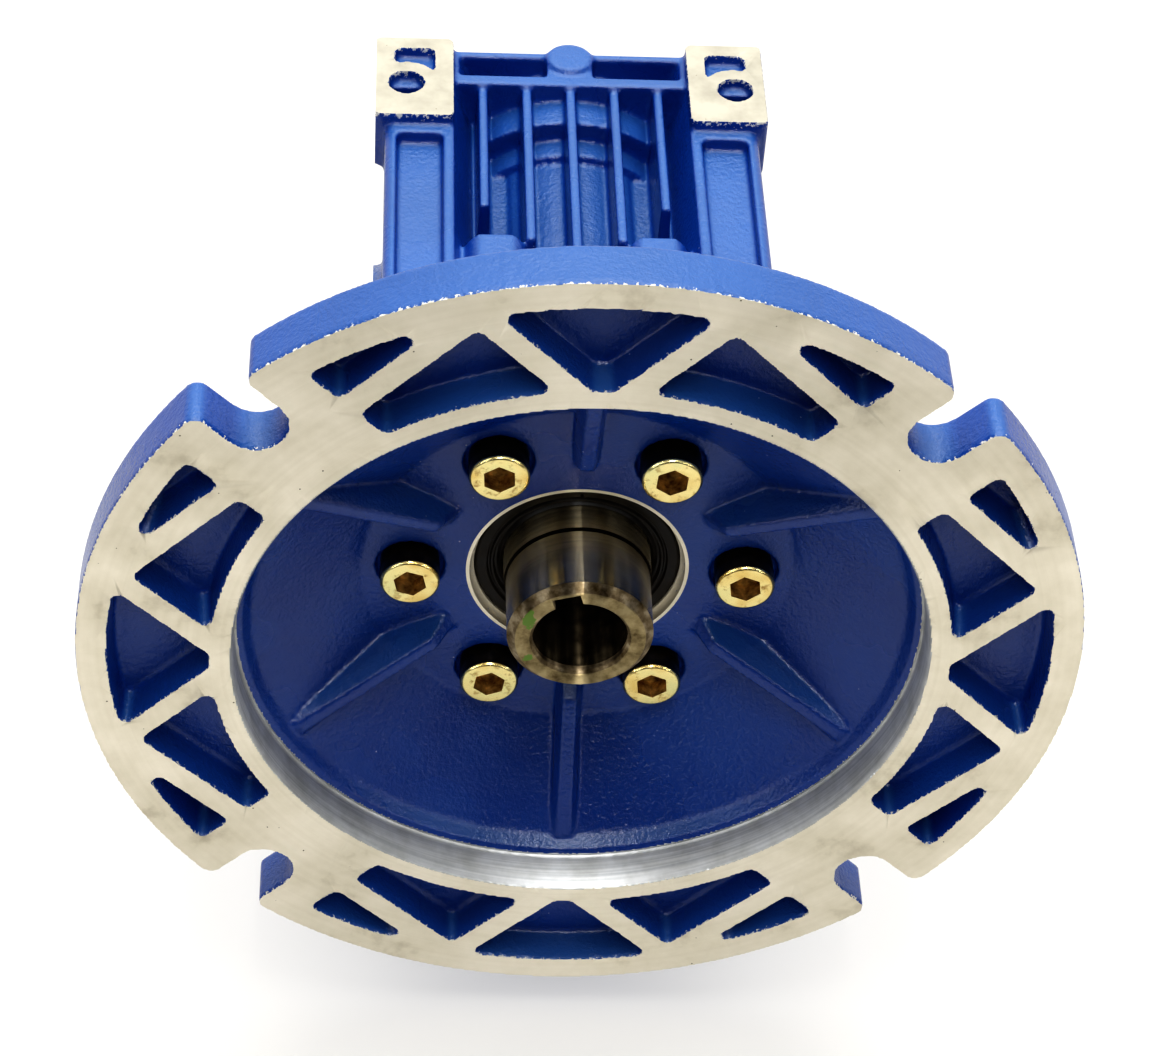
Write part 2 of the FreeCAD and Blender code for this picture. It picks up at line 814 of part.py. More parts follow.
def motor_flange():
    """The motor flange: trussed rim, female pilot, ribbed dish and counterbored hub."""
    body = flange_body()
    envelope = turned_on_worm([
        (flange_face_y + pilot_depth, ledge_inner_radius),
        (flange_face_y + dish_wall_depth, dish_wall_radius),
        (flange_face_y + plateau_depth + 2, plateau_radius),
        (flange_face_y + plateau_depth + 2, input_seal_radius + 4),
        (flange_face_y + pilot_depth, input_seal_radius + 4),
    ])
    ribs = [rib.common(envelope) for rib in dish_ribs()]
    flange = body.fuse(ribs).cut(rim_pockets() + rim_slots())
    tools = []
    for index in range(flange_screw_count):
        angle = 360 / flange_screw_count * index
        seat = on_circle(flange_screw_circle_radius, angle, flange_face_y + flange_head_depth)
        tools.append(Part.makeCylinder(m6_clearance_radius, flange_length, seat, Vector(0, 1, 0)))
        recess_start = seat - Vector(0, m6_head_height, 0)
        tools.append(Part.makeCylinder(counterbore_radius, m6_head_height, recess_start, Vector(0, 1, 0)))
    return flange.cut(tools).removeSplitter()


def motor_flange_screws():
    screws = []
    for index in range(flange_screw_count):
        angle = 360 / flange_screw_count * index
        seat = on_circle(flange_screw_circle_radius, angle, flange_face_y + flange_head_depth)
        inward = Vector(0, 1, 0)
        flats = m6_socket_across_flats
        screws.append(socket_screw(seat, inward, m6_radius, m6_head_radius, m6_head_height, flats, m6_length))
    return Part.makeCompound(screws)


# Housing


def foot_lug():
    """The pad block of one foot."""
    low_z = foot_top_z - foot_thickness
    lug = block(foot_pad_inner_x, foot_pad_outer_x, foot_pad_near_y, foot_pad_far_y, low_z, foot_top_z)
    return lug.makeFillet(foot_corner_radius, upright_edges(lug, Vector(0, 0, 1)))


def foot_hole(radius):
    start = Vector(foot_spacing_x / 2, foot_spacing_y / 2, foot_top_z - foot_thickness - 1)
    return Part.makeCylinder(radius, foot_thickness + 2, start)


def foot_recess():
    """The recess behind the boss of one foot's hole."""
    recess = block(
        foot_pad_inner_x + foot_pocket_margin,
        foot_pad_outer_x - foot_pocket_margin,
        foot_spacing_y / 2 + 2,
        foot_pad_far_y - foot_pocket_margin,
        foot_top_z - foot_pocket_depth,
        foot_top_z + 1,
    )
    recess = recess.makeFillet(foot_corner_radius, upright_edges(recess, Vector(0, 0, 1)))
    return recess.cut(foot_hole(foot_boss_radius))


def upper_corners(shape):
    """The same shape at the four upper corners."""
    pair = with_twins(shape, Vector(1, 0, 0))
    return pair + [mirrored(copy, Vector(0, 1, 0)) for copy in pair]


def lower_corners(shape):
    """The same shape at the four lower corners, upside down."""
    corners = []
    for copy in upper_corners(shape):
        low = mirrored(copy, Vector(0, 0, 1))
        low.translate(Vector(0, 0, foot_top_z + foot_bottom_z))
        corners.append(low)
    return corners


def fin(x, y0, y1, z_root, z_top):
    """One upright fin, thinner at its crest."""
    half_root = fin_root_width / 2
    half_top = fin_top_width / 2
    return prism([
        Vector(x - half_root, y0, z_root),
        Vector(x + half_root, y0, z_root),
        Vector(x + half_top, y0, z_top),
        Vector(x - half_top, y0, z_top),
    ], Vector(0, y1 - y0, 0))


def drafted_slot(half_top, half_floor, y0, y1, z_floor, z_top):
    """A long hollow with leaning side walls."""
    return prism([
        Vector(-half_floor, y0, z_floor),
        Vector(half_floor, y0, z_floor),
        Vector(half_top, y0, z_top),
        Vector(-half_top, y0, z_top),
    ], Vector(0, y1 - y0, 0))


def top_valley():
    """The finned hollow over the worm, with the round of the worm tunnel left standing in it."""
    floor_z = rail_top_z - valley_depth
    hollow = drafted_slot(
        valley_top_half_width, valley_floor_half_width, valley_front_y, valley_rear_y, floor_z, rail_top_z
    )
    drum = worm_cylinder(drum_radius, valley_front_y, valley_rear_y)
    slab = block(-drum_half_width, drum_half_width, valley_front_y, valley_rear_y, floor_z, rail_top_z)
    boss = worm_cylinder(drum_boss_radius, valley_rear_y - drum_boss_length, valley_rear_y)
    return hollow.cut([drum.common(slab), boss])


def top_fins():
    """The fins over the worm: a full one in the middle, and shorter ones beside it."""
    floor_z = centre_distance + drum_radius - fin_sink
    top_z = rail_top_z - fin_drop
    side_start = valley_rear_y - side_fin_length
    outer_start = valley_rear_y - outer_fin_length
    stub_end = valley_front_y + outer_fin_stub_length
    fins = [fin(0, valley_front_y, valley_rear_y + 1, floor_z, top_z)]
    for side in (-1, 1):
        fins.append(fin(side * fin_pitch, side_start, valley_rear_y + 1, floor_z, top_z))
        fins.append(fin(side * 2 * fin_pitch, outer_start, valley_rear_y + 1, floor_z, top_z))
        fins.append(fin(side * 2 * fin_pitch, valley_front_y, stub_end, floor_z, top_z))
    return fins


def bottom_valley():
    """The finned hollow under the wheel."""
    floor_z = -chamber_radius
    end_y = cast_half_length - 4
    hollow = prism([
        Vector(-valley_floor_half_width, -end_y, floor_z),
        Vector(valley_floor_half_width, -end_y, floor_z),
        Vector(valley_top_half_width, -end_y, rail_bottom_z),
        Vector(-valley_top_half_width, -end_y, rail_bottom_z),
    ], Vector(0, 2 * end_y, 0))
    return hollow.cut(output_cylinder(chamber_radius + 5, -body_half_width, body_half_width))


def bottom_fins():
    end_y = cast_half_length - 4
    fins = []
    for index in range(-2, 3):
        fins.append(fin(index * fin_pitch, -end_y, end_y, -chamber_radius - 1, rail_bottom_z + fin_drop))
    return fins


def rear_pockets():
    """The two deep core holes between the cross bars behind the fins, with leaning outer ends."""
    y0 = valley_rear_y + cross_bar_width
    floor_z = rail_top_z - rear_pocket_depth
    pocket = prism([
        Vector(rear_pocket_inner_x, y0, floor_z),
        Vector(rear_pocket_floor_x, y0, floor_z),
        Vector(rear_pocket_outer_x, y0, rail_top_z),
        Vector(rear_pocket_inner_x, y0, rail_top_z),
    ], Vector(0, rear_pocket_length, 0))
    pocket = pocket.cut(worm_cylinder(worm_rear_bearing["outer"] + 3.5, y0, y0 + rear_pocket_length))
    return with_twins(pocket, Vector(1, 0, 0))


def rail_pockets():
    """The long shallow recesses in the rails between the feet, above and below."""
    half_run = foot_pad_near_y - rail_pocket_end_gap
    floor_z = rail_top_z - rail_pocket_depth
    recess = block(rail_pocket_inner_x, rail_pocket_outer_x, -half_run, half_run, floor_z, rail_top_z + 1)
    recess = recess.makeFillet(foot_corner_radius, upright_edges(recess, Vector(0, 0, 1)))
    low = mirrored(recess, Vector(0, 0, 1))
    low.translate(Vector(0, 0, rail_top_z + rail_bottom_z))
    return with_twins(recess, Vector(1, 0, 0)) + with_twins(low, Vector(1, 0, 0))


def end_panels():
    """The recessed panels below the worm on the front and rear walls, with upright fins left in them."""
    front_top_z = centre_distance - hub_radius - panel_top_gap
    rear_top_z = centre_distance - rear_boss_radius - panel_top_gap
    panels = []
    for side, top_z in ((-1, front_top_z), (1, rear_top_z)):
        y_wall = side * cast_half_length
        y_floor = side * (cast_half_length - panel_depth)
        y0 = min(y_wall, y_floor)
        y1 = max(y_wall, y_floor)
        panel = block(-panel_half_width, panel_half_width, y0, y1, panel_bottom_z, top_z)
        panel = panel.makeFillet(2.0, upright_edges(panel, Vector(0, 1, 0)))
        uprights = []
        half_fin = fin_top_width / 2
        for index in range(-2, 3):
            x = index * fin_pitch
            uprights.append(block(x - half_fin, x + half_fin, y0, y1, panel_bottom_z, top_z))
        if side > 0:
            boss_foot = Vector(0, y0, plug_z)
            uprights.append(Part.makeCylinder(plug_boss_radius, panel_depth, boss_foot, Vector(0, 1, 0)))
        panels.append(panel.cut(uprights))
    return panels


def side_windows():
    """The shallow recess in each side wall between the feet and the round output face."""
    window = block(
        body_half_width - 1.8,
        side_face_x,
        -foot_pad_near_y + 4,
        foot_pad_near_y - 4,
        cover_radius + 4,
        rail_top_z - 4,
    )
    window = window.makeFillet(2.0, upright_edges(window, Vector(1, 0, 0)))
    return with_twins(window, Vector(1, 0, 0))


def output_tap_holes(face_x, into):
    """The four tapped holes of an output face; into is the sign of X into the metal."""
    holes = []
    for angle in range(45, 360, 90):
        turn = math.radians(angle)
        centre = Vector(
            face_x, output_screw_circle_radius * math.cos(turn), output_screw_circle_radius * math.sin(turn)
        )
        holes.append(Part.makeCylinder(m6_radius, output_tap_depth, centre, Vector(into, 0, 0)))
    return holes


def cover_screw_points(x):
    points = []
    for angle in range(0, 360, 90):
        turn = math.radians(angle)
        points.append(Vector(
            x, cover_screw_circle_radius * math.cos(turn), cover_screw_circle_radius * math.sin(turn)
        ))
    return points


def rear_pillar():
    """The half-round pillar between the rear core holes, which stands proud of the rear wall."""
    reach = cast_half_length + rear_pillar_reach
    top_z = rail_top_z + rear_pillar_rise
    centre_y = reach - rear_pillar_radius
    foot = Vector(0, centre_y, centre_distance)
    column = Part.makeCylinder(rear_pillar_radius, top_z - centre_distance, foot)
    column = column.cut(worm_cylinder(worm_rear_bearing["outer"], 0, housing_half_length))
    crown_edges = [edge for edge in column.Edges if edge.BoundBox.ZMin > top_z - 0.1]
    return column.makeFillet(rear_pillar_rise, crown_edges)


def front_bosses():
    """The round of the front bearing seat and the bosses of the two upper flange screws."""
    bosses = [worm_cylinder(front_boss_radius, -cast_half_length, front_boss_length - cast_half_length)]
    for angle in (60, 120):
        start = on_circle(flange_screw_circle_radius, angle, -cast_half_length)
        bosses.append(Part.makeCylinder(screw_boss_radius, screw_boss_length, start, Vector(0, 1, 0)))
    return bosses


def housing_bores():
    """Everything that is bored or machined inside the housing."""
    far = body_half_width + 5
    bearing_end_x = output_bearing_x + output_bearing["width"]
    seal_start_x = side_face_x - output_seal_width
    front_shoulder_y = front_bearing_y + worm_front_bearing["width"]
    tunnel_radius = worm_front_shoulder_radius + tunnel_clearance
    clip_y = rear_bearing_y + worm_rear_bearing["width"]
    tools = [
        output_cylinder(chamber_radius, -chamber_half_width, cover_seat_x - cover_thickness),
        output_cylinder(opening_radius, 0, far),
        output_cylinder(cover_radius + cover_gap, cover_seat_x, far),
        output_cylinder(output_bearing["outer"], -bearing_end_x, 0),
        output_cylinder(output_bearing["outer"] - 3, -seal_start_x - 0.1, 0),
        output_cylinder(output_seal_radius, -far, -seal_start_x),
        worm_cylinder(tunnel_radius, front_shoulder_y, rear_bearing_y),
        worm_cylinder(worm_front_bearing["outer"], -housing_half_length, front_shoulder_y),
        worm_cylinder(worm_front_bearing["outer"] - 3, front_shoulder_y, front_shoulder_y + 2.5),
        worm_cylinder(worm_rear_bearing["outer"], rear_bearing_y, housing_half_length),
        worm_cylinder(worm_rear_bearing["outer"] + bore_clip_grip, clip_y, clip_y + bore_clip_thickness),
    ]
    for index in range(flange_screw_count):
        angle = 360 / flange_screw_count * index
        start = on_circle(flange_screw_circle_radius, angle, -housing_half_length)
        tools.append(Part.makeCylinder(m6_radius, tapped_depth, start, Vector(0, 1, 0)))
    for start in cover_screw_points(cover_seat_x):
        tools.append(Part.makeCylinder(m5_radius, m5_tapped_depth, start, Vector(-1, 0, 0)))
    plug_hole_start = Vector(0, chamber_radius - 2, plug_z)
    tools.append(Part.makeCylinder(plug_thread_radius, cast_half_length, plug_hole_start, Vector(0, 1, 0)))
    return tools + output_tap_holes(-side_face_x, 1)


def housing():
    """The cast housing: side cheeks with feet, finned hollows, worm tunnel and bearing seats."""
    body = block(
        -body_half_width, body_half_width, -cast_half_length, cast_half_length, rail_bottom_z, rail_top_z
    )
    body = body.makeFillet(2.0, upright_edges(body, Vector(0, 1, 0)) + upright_edges(body, Vector(0, 0, 1)))
    body = body.cut([top_valley(), bottom_valley()] + rear_pockets() + rail_pockets() + end_panels())
    body = body.cut(side_windows())
    far_y = housing_half_length
    limits = block(-body_half_width, body_half_width, -far_y, far_y, rail_bottom_z, rail_top_z)
    boss_start_x = side_face_x - output_boss_length
    additions = [
        worm_cylinder(hub_radius, -housing_half_length, 1 - cast_half_length).common(limits),
        worm_cylinder(rear_boss_radius, rear_bearing_y, housing_half_length),
        output_cylinder(cover_radius, boss_start_x, side_face_x),
        output_cylinder(cover_radius, -side_face_x, -boss_start_x),
        rear_pillar(),
        turned_on_output([
            (-side_face_x - spigot_height, spigot_radius - 0.5),
            (0.5 - side_face_x - spigot_height, spigot_radius),
            (-side_face_x, spigot_radius),
            (-side_face_x, output_seal_radius),
            (-side_face_x - spigot_height, output_seal_radius),
        ]),
    ]
    additions += [boss.common(limits) for boss in front_bosses()]
    additions += top_fins() + bottom_fins() + upper_corners(foot_lug()) + lower_corners(foot_lug())
    body = body.fuse(additions)
    tools = housing_bores() + upper_corners(foot_recess()) + lower_corners(foot_recess())
    tools += upper_corners(foot_hole(upper_foot_hole_radius))
    tools += lower_corners(foot_hole(lower_foot_hole_radius))
    return body.cut(tools).removeSplitter()


def side_cover():
    """The bolted cover on the output side: flange, locating spigot, bearing and seal seats."""
    seat = cover_seat_x
    bearing_end_x = output_bearing_x + output_bearing["width"]
    seal_start_x = side_face_x - output_seal_width
    inner_radius = opening_radius - opening_gap
    groove_floor = opening_radius - o_ring_section
    groove_x = seat - o_ring_end_gap
    outline = [
        (output_bearing_x, output_bearing["outer"]),
        (bearing_end_x, output_bearing["outer"]),
        (bearing_end_x, output_bearing["outer"] - 3),
        (seal_start_x - 0.1, output_bearing["outer"] - 3),
        (seal_start_x - 0.1, output_seal_radius),
        (side_face_x + spigot_height, output_seal_radius),
        (side_face_x + spigot_height, spigot_radius - 0.5),
        (side_face_x + spigot_height - 0.5, spigot_radius),
        (side_face_x, spigot_radius),
        (side_face_x, cover_radius - 0.6),
        (side_face_x - 0.6, cover_radius),
        (seat, cover_radius),
        (seat, inner_radius),
        (groove_x, inner_radius),
        (groove_x, groove_floor),
        (groove_x - o_ring_section, groove_floor),
        (groove_x - o_ring_section, inner_radius),
        (output_bearing_x, inner_radius),
    ]
    cover = turned_on_output(outline)
    tools = output_tap_holes(side_face_x, -1)
    inward = Vector(-1, 0, 0)
    for centre in cover_screw_points(side_face_x):
        tools.append(Part.makeCylinder(m5_head_radius + 0.5, cover_head_recess, centre, inward))
        tools.append(Part.makeCylinder(m5_clearance_radius, cover_thickness + 1, centre, inward))
    return cover.cut(tools)


def side_cover_screws():
    screws = []
    for seat in cover_screw_points(side_face_x - cover_head_recess):
        inward = Vector(-1, 0, 0)
        flats = m5_socket_across_flats
        screws.append(socket_screw(seat, inward, m5_radius, m5_head_radius, m5_head_height, flats, m5_length))
    return Part.makeCompound(screws)


def rear_end_cap():
    """The pressed cap that closes the worm bore at the rear."""
    radius = worm_rear_bearing["outer"]
    end = housing_half_length
    start = end - rear_cap_length
    return turned_on_worm([
        (start, radius - rear_cap_wall),
        (start, radius),
        (end - 0.6, radius),
        (end, radius - 0.6),
        (end, 0),
        (end - rear_cap_wall, 0),
        (end - rear_cap_wall, radius - rear_cap_wall),
    ])


def oil_fill_plug():
    seat = Vector(0, cast_half_length + washer_thickness, plug_z)
    return socket_screw(
        seat,
        Vector(0, -1, 0),
        plug_thread_radius,
        plug_head_radius,
        plug_head_height,
        plug_socket_across_flats,
        plug_thread_length + washer_thickness,
    )


def oil_plug_washer():
    start = Vector(0, cast_half_length, plug_z)
    washer = Part.makeCylinder(plug_head_radius, washer_thickness, start, Vector(0, 1, 0))
    return washer.cut(Part.makeCylinder(plug_thread_radius, washer_thickness, start, Vector(0, 1, 0)))


nodes = {
    "housing": housing(),
    "motor_flange": motor_flange(),
    "motor_flange_screws": motor_flange_screws(),
    "side_cover": side_cover(),
    "side_cover_screws": side_cover_screws(),
    "worm_shaft": worm_shaft(),
    "hollow_output_shaft": hollow_output_shaft(),
    "worm_wheel_rim": worm_wheel_rim(),
    "rear_end_cap": rear_end_cap(),
    "oil_fill_plug": oil_fill_plug(),
    "oil_plug_washer": oil_plug_washer(),
}

bearing_places = {
    "worm_front": (worm_front_bearing, front_bearing_y, turned_on_worm),
    "worm_rear": (worm_rear_bearing, rear_bearing_y, turned_on_worm),
    "output_right": (output_bearing, output_bearing_x, turned_on_output),
    "output_left": (output_bearing, -output_bearing_x - output_bearing["width"], turned_on_output),
}
for name, place in bearing_places.items():
    outer_ring, inner_ring, shields = bearing_pieces(*place)
    nodes[name + "_bearing_outer_ring"] = outer_ring
    nodes[name + "_bearing_inner_ring"] = inner_ring
    nodes[name + "_bearing_shields"] = shields

nodes["input_oil_seal"] = seal_ring(
    input_seal_radius,
    worm_front_bearing["bore"],
    flange_face_y + seal_ring_depth + 0.6,
    input_seal_width,
    turned_on_worm,
)
left_seal = seal_ring(
    output_seal_radius,
    output_bearing["bore"],
    -side_face_x,
    output_seal_width,
    turned_on_output,
)
nodes["output_left_oil_seal"] = left_seal
nodes["output_right_oil_seal"] = mirrored(left_seal, Vector(1, 0, 0))
nodes["motor_flange_o_ring"] = o_ring(
    worm_front_bearing["outer"] - o_ring_section,
    flange_face_y + flange_length + 1.0,
    turned_on_worm,
)
nodes["side_cover_o_ring"] = o_ring(
    opening_radius - o_ring_section,
    cover_seat_x - o_ring_end_gap - o_ring_section,
    turned_on_output,
)
nodes["rear_bearing_circlip"] = retaining_ring(
    worm_rear_bearing["outer"] - bore_clip_reach,
    worm_rear_bearing["outer"] + bore_clip_grip,
    rear_bearing_y + worm_rear_bearing["width"],
    bore_clip_thickness,
    bore_clip_lug_radius,
    bore_clip_half_gap,
)
nodes["worm_shaft_circlip"] = retaining_ring(
    worm_rear_bearing["bore"] - circlip_groove_depth,
    worm_rear_bearing["bore"] + shaft_clip_reach,
    rear_bearing_y + worm_rear_bearing["width"],
    circlip_thickness,
    shaft_clip_lug_radius,
    shaft_clip_half_gap,
)

for name, shape in nodes.items():
    shape.exportStep("parts/" + name + ".step")
    print(name, len(shape.Solids), round(shape.Volume, 1), shape.isValid())
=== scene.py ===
import json
import math

import bmesh
import bpy
import numpy as np
from mathutils import Matrix, Vector, noise


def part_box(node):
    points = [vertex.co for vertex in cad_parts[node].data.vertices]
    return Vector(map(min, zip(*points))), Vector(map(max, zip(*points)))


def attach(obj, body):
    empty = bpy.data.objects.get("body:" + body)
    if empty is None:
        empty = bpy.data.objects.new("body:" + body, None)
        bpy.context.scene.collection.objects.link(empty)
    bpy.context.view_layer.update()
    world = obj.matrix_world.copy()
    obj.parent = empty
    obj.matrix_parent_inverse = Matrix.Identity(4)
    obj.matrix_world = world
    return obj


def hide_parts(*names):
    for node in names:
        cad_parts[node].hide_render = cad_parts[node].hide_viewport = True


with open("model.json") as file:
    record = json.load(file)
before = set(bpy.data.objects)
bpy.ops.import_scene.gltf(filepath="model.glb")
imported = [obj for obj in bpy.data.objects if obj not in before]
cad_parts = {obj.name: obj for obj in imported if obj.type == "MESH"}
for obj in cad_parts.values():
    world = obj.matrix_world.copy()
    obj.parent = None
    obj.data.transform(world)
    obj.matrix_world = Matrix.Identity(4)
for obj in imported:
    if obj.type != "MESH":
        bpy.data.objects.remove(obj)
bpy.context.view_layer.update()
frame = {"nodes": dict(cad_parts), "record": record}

# Looks of a worm gear reducer: a blue enamelled aluminium casting with bare machined faces,
# a trussed motor flange, a ground steel input shaft and yellow zinc screws.
# Lengths are in metres. MM turns a size in millimetres into metres.

MM = 0.001

# Places that come from the frame
flange_low, flange_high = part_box("motor_flange")
housing_low, housing_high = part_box("housing")
seal_low, seal_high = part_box("input_oil_seal")
right_seal_low, right_seal_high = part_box("output_right_oil_seal")
cap_low, cap_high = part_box("rear_end_cap")
plug_low, plug_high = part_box("oil_fill_plug")
shaft_end_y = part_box("worm_shaft")[0].y
plug_seat_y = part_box("oil_plug_washer")[1].y
worm_z = (seal_low.z + seal_high.z) / 2
flange_face_y = flange_low.y
flange_radius = flange_high.z - worm_z
floor_z = housing_low.z
foot_top_z = housing_high.z
rear_face_y = cap_high.y
output_face_x = right_seal_high.x

# Sizes of the machined places
rim_inner_radius = 57.7 * MM
pilot_radius = 57.2 * MM
pilot_depth = 7.6 * MM
bare_ledge_radius = 56.7 * MM
plateau_depth = 22.4 * MM
seal_mouth_depth = 24.08 * MM
seal_mouth_radius = 18.3 * MM
foot_recess_depth = 2.0 * MM
foot_filling_depth = 6.0 * MM
foot_recess_x = (24.0 * MM, 33.0 * MM)
foot_recess_y = (36.0 * MM, 46.0 * MM)
journal_step_y = flange_face_y + 19.6 * MM
end_face_depth = 0.12 * MM
rubbed_depth = 1.55 * MM
motor_bore_radius = 7.94 * MM
input_journal_radius = 12.5 * MM
output_journal_radius = 15 * MM
screw_circle_radius = 28.25 * MM
screw_head_radius = 5.0 * MM
screw_seat_depth = 24.4 * MM
cover_screw_circle_radius = 39.4 * MM
cover_screw_seat_x = output_face_x - 5.4 * MM
output_face_radius = 44.0 * MM
cover_edge_break = 0.12 * MM
cover_edge_angle = 0.7

# Green dabs on the shaft's end: x, z, half width and half height in mm, from the worm axis
paint_dabs = ((-8.75, 4.8, 1.05, 2.1), (-8.5, -4.5, 0.85, 0.85))

# How the castings are rounded, and which of their faces count as lying in a machined flat
casting_voxel = 0.42 * MM
casting_passes = 7
smoothing_steps = (0.6, -0.45)
kept_share = 0.22
flat_catch = 0.6 * casting_voxel
flat_snap = 0.30 * MM
near_flat = 0.15 * MM
flat_margin = 0.03 * MM
on_flat = 0.01 * MM
flat_shading_margin = 0.002 * MM
facing = 0.9
straight = 0.9999
torn_edge = 0.16 * MM
torn_edge_margin = 1.5 * MM

# The narrow lamps, in metres; each gap between windows has its lean in degrees and its energy
strip_length = 0.7
strip_distance = 0.95
strip_forward = 0.58
gap_width = 0.015
window_gaps = ((-72, 0.8), (-56, 1.1), (-38, 0.7), (24, 0.5), (52, 1.0), (70, 0.8))
floor_reach = 6
floor_in_front = 0.36


# Colour and nodes


def srgb(code):
    """A hex colour as the linear values that a shader takes."""
    parts = [int(code[i:i + 2], 16) / 255 for i in (1, 3, 5)]
    linear = [c / 12.92 if c <= 0.04045 else ((c + 0.055) / 1.055) ** 2.4 for c in parts]
    return (*linear, 1.0)


def add(tree, kind, inputs=None, stops=None, **settings):
    """Add a node with its settings, link or set its inputs, and place the stops of its ramp."""
    node = tree.nodes.new("ShaderNode" + kind)
    for name, value in settings.items():
        setattr(node, name, value)
    for name, value in (inputs or {}).items():
        if isinstance(name, int):
            socket = node.inputs[name]
        else:
            socket = next(s for s in node.inputs if s.enabled and s.name == name)
        if isinstance(value, bpy.types.Node):
            value = next(s for s in value.outputs if s.enabled)
        if isinstance(value, bpy.types.NodeSocket):
            tree.links.new(value, socket)
        else:
            socket.default_value = value
    for index, (position, colour) in enumerate(stops or ()):
        elements = node.color_ramp.elements
        element = elements[index] if index < 2 else elements.new(position)
        element.position = position
        element.color = srgb(colour)
    return node


def new_finish(name):
    """An empty material and the part's own coordinates, in metres."""
    material = bpy.data.materials.new(name)
    material.use_nodes = True
    tree = material.node_tree
    tree.nodes.clear()
    place = add(tree, "TexCoord").outputs["Object"]
    return material, tree, place


def polar(tree, place, axis, centre_z=0.0):
    """The radius and angle round the worm axis (Y) or output axis (X), and the place along it."""
    split = add(tree, "SeparateXYZ", {"Vector": place})
    along = split.outputs[axis]
    across = split.outputs["X" if axis == "Y" else "Y"]
    up = add(tree, "Math", {0: split.outputs["Z"], 1: centre_z}, operation="SUBTRACT")
    flat = add(tree, "CombineXYZ", {"X": across, "Y": up})
    radius = add(tree, "VectorMath", {0: flat}, operation="LENGTH")
    angle = add(tree, "Math", {0: up, 1: across}, operation="ARCTAN2")
    return radius, angle, along


# Materials


def stoving_enamel(name, cut_axis, cut_place, flake_reach, flakes_from_x=0.0):
    """Stoving enamel, sprayed on a shot-blasted aluminium casting that is machined afterwards.

    It gives a deep blue under a glossy skin with orange peel, a sandy grain that the blasting leaves,
    a few small pale specks, and a paler, greener blue on what looks up, which is partly a film of blast
    dust and partly painted sheen of the overhead lamp. Where the cutter left the casting, bare metal
    shows in flakes along the edge. The grain of the blasting, about 0.3 mm, is drawn at 0.8 mm.
    """
    material, tree, place = new_finish(name)
    cloud = add(tree, "TexNoise", {"Vector": place, "Scale": 1000 / 24, "Detail": 3})
    blue = add(tree, "ValToRGB", {"Fac": cloud}, [(0.32, "#063A8E"), (0.68, "#0A469C")])
    # Painted sheen: enamel that looks up is mixed toward a pale cyan-blue by its normal, partly a film
    # of blast dust and partly painted light of the overhead lamp.
    up = add(tree, "SeparateXYZ", {"Vector": add(tree, "NewGeometry").outputs["Normal"]}).outputs["Z"]
    film_and_sheen = add(tree, "MapRange", {
        "Value": up, "From Min": 0.6, "From Max": 1.0, "To Min": 0.0, "To Max": 0.17,
    })
    blue = add(tree, "Mix", {"Factor": film_and_sheen, "A": blue, "B": srgb("#74B8DA")}, data_type="RGBA")
    cells = add(tree, "TexVoronoi", {"Vector": place, "Scale": 1000 / 5.5})
    speck = add(tree, "Math", {0: cells, 1: 0.026}, operation="LESS_THAN")
    speck = add(tree, "Math", {0: speck, 1: 0.5}, operation="MULTIPLY")
    colour = add(tree, "Mix", {"Factor": speck, "A": blue, "B": srgb("#C9D4E8")}, data_type="RGBA")
    split = add(tree, "SeparateXYZ", {"Vector": place})
    from_cut = add(tree, "Math", {0: split.outputs[cut_axis], 1: cut_place}, operation="SUBTRACT")
    from_cut = add(tree, "Math", {0: from_cut}, operation="ABSOLUTE")
    from_middle = add(tree, "Math", {0: split.outputs["X"]}, operation="ABSOLUTE")
    on_foot = add(tree, "Math", {
        0: from_middle, 1: flakes_from_x - 0.01 * MM,
    }, operation="GREATER_THAN")
    flake = add(tree, "TexNoise", {"Vector": place, "Scale": 1000 / 0.7, "Detail": 3, "Roughness": 0.6})
    reach = add(tree, "MapRange", {
        "Value": flake, "From Min": 0.50, "From Max": 0.74, "To Max": flake_reach,
    })
    bare = add(tree, "Math", {0: from_cut, 1: reach}, operation="LESS_THAN")
    bare = add(tree, "Math", {0: bare, 1: on_foot}, operation="MULTIPLY")
    colour = add(tree, "Mix", {"Factor": bare, "A": colour, "B": srgb("#E2DFD4")}, data_type="RGBA")
    grain = add(tree, "TexNoise", {"Vector": place, "Scale": 1000 / 0.8, "Detail": 3, "Roughness": 0.6})
    peel = add(tree, "TexNoise", {"Vector": place, "Scale": 1000 / 3.6, "Detail": 2})
    skin = add(tree, "Bump", {"Height": grain, "Distance": 0.24 * MM, "Strength": 0.8})
    skin = add(tree, "Bump", {"Height": peel, "Distance": 0.20 * MM, "Strength": 0.6, "Normal": skin})
    rough = add(tree, "MapRange", {
        "Value": cloud, "From Min": 0.3, "From Max": 0.7, "To Min": 0.22, "To Max": 0.32,
    })
    rough = add(tree, "Math", {0: bare, 1: 0.25, 2: rough}, operation="MULTIPLY_ADD")
    shader = add(tree, "BsdfPrincipled", {
        "Base Color": colour,
        "Roughness": rough,
        "IOR": 1.5,
        "Specular IOR Level": 0.5,
        "Normal": skin,
    })
    add(tree, "OutputMaterial", {"Surface": shader})
    return material


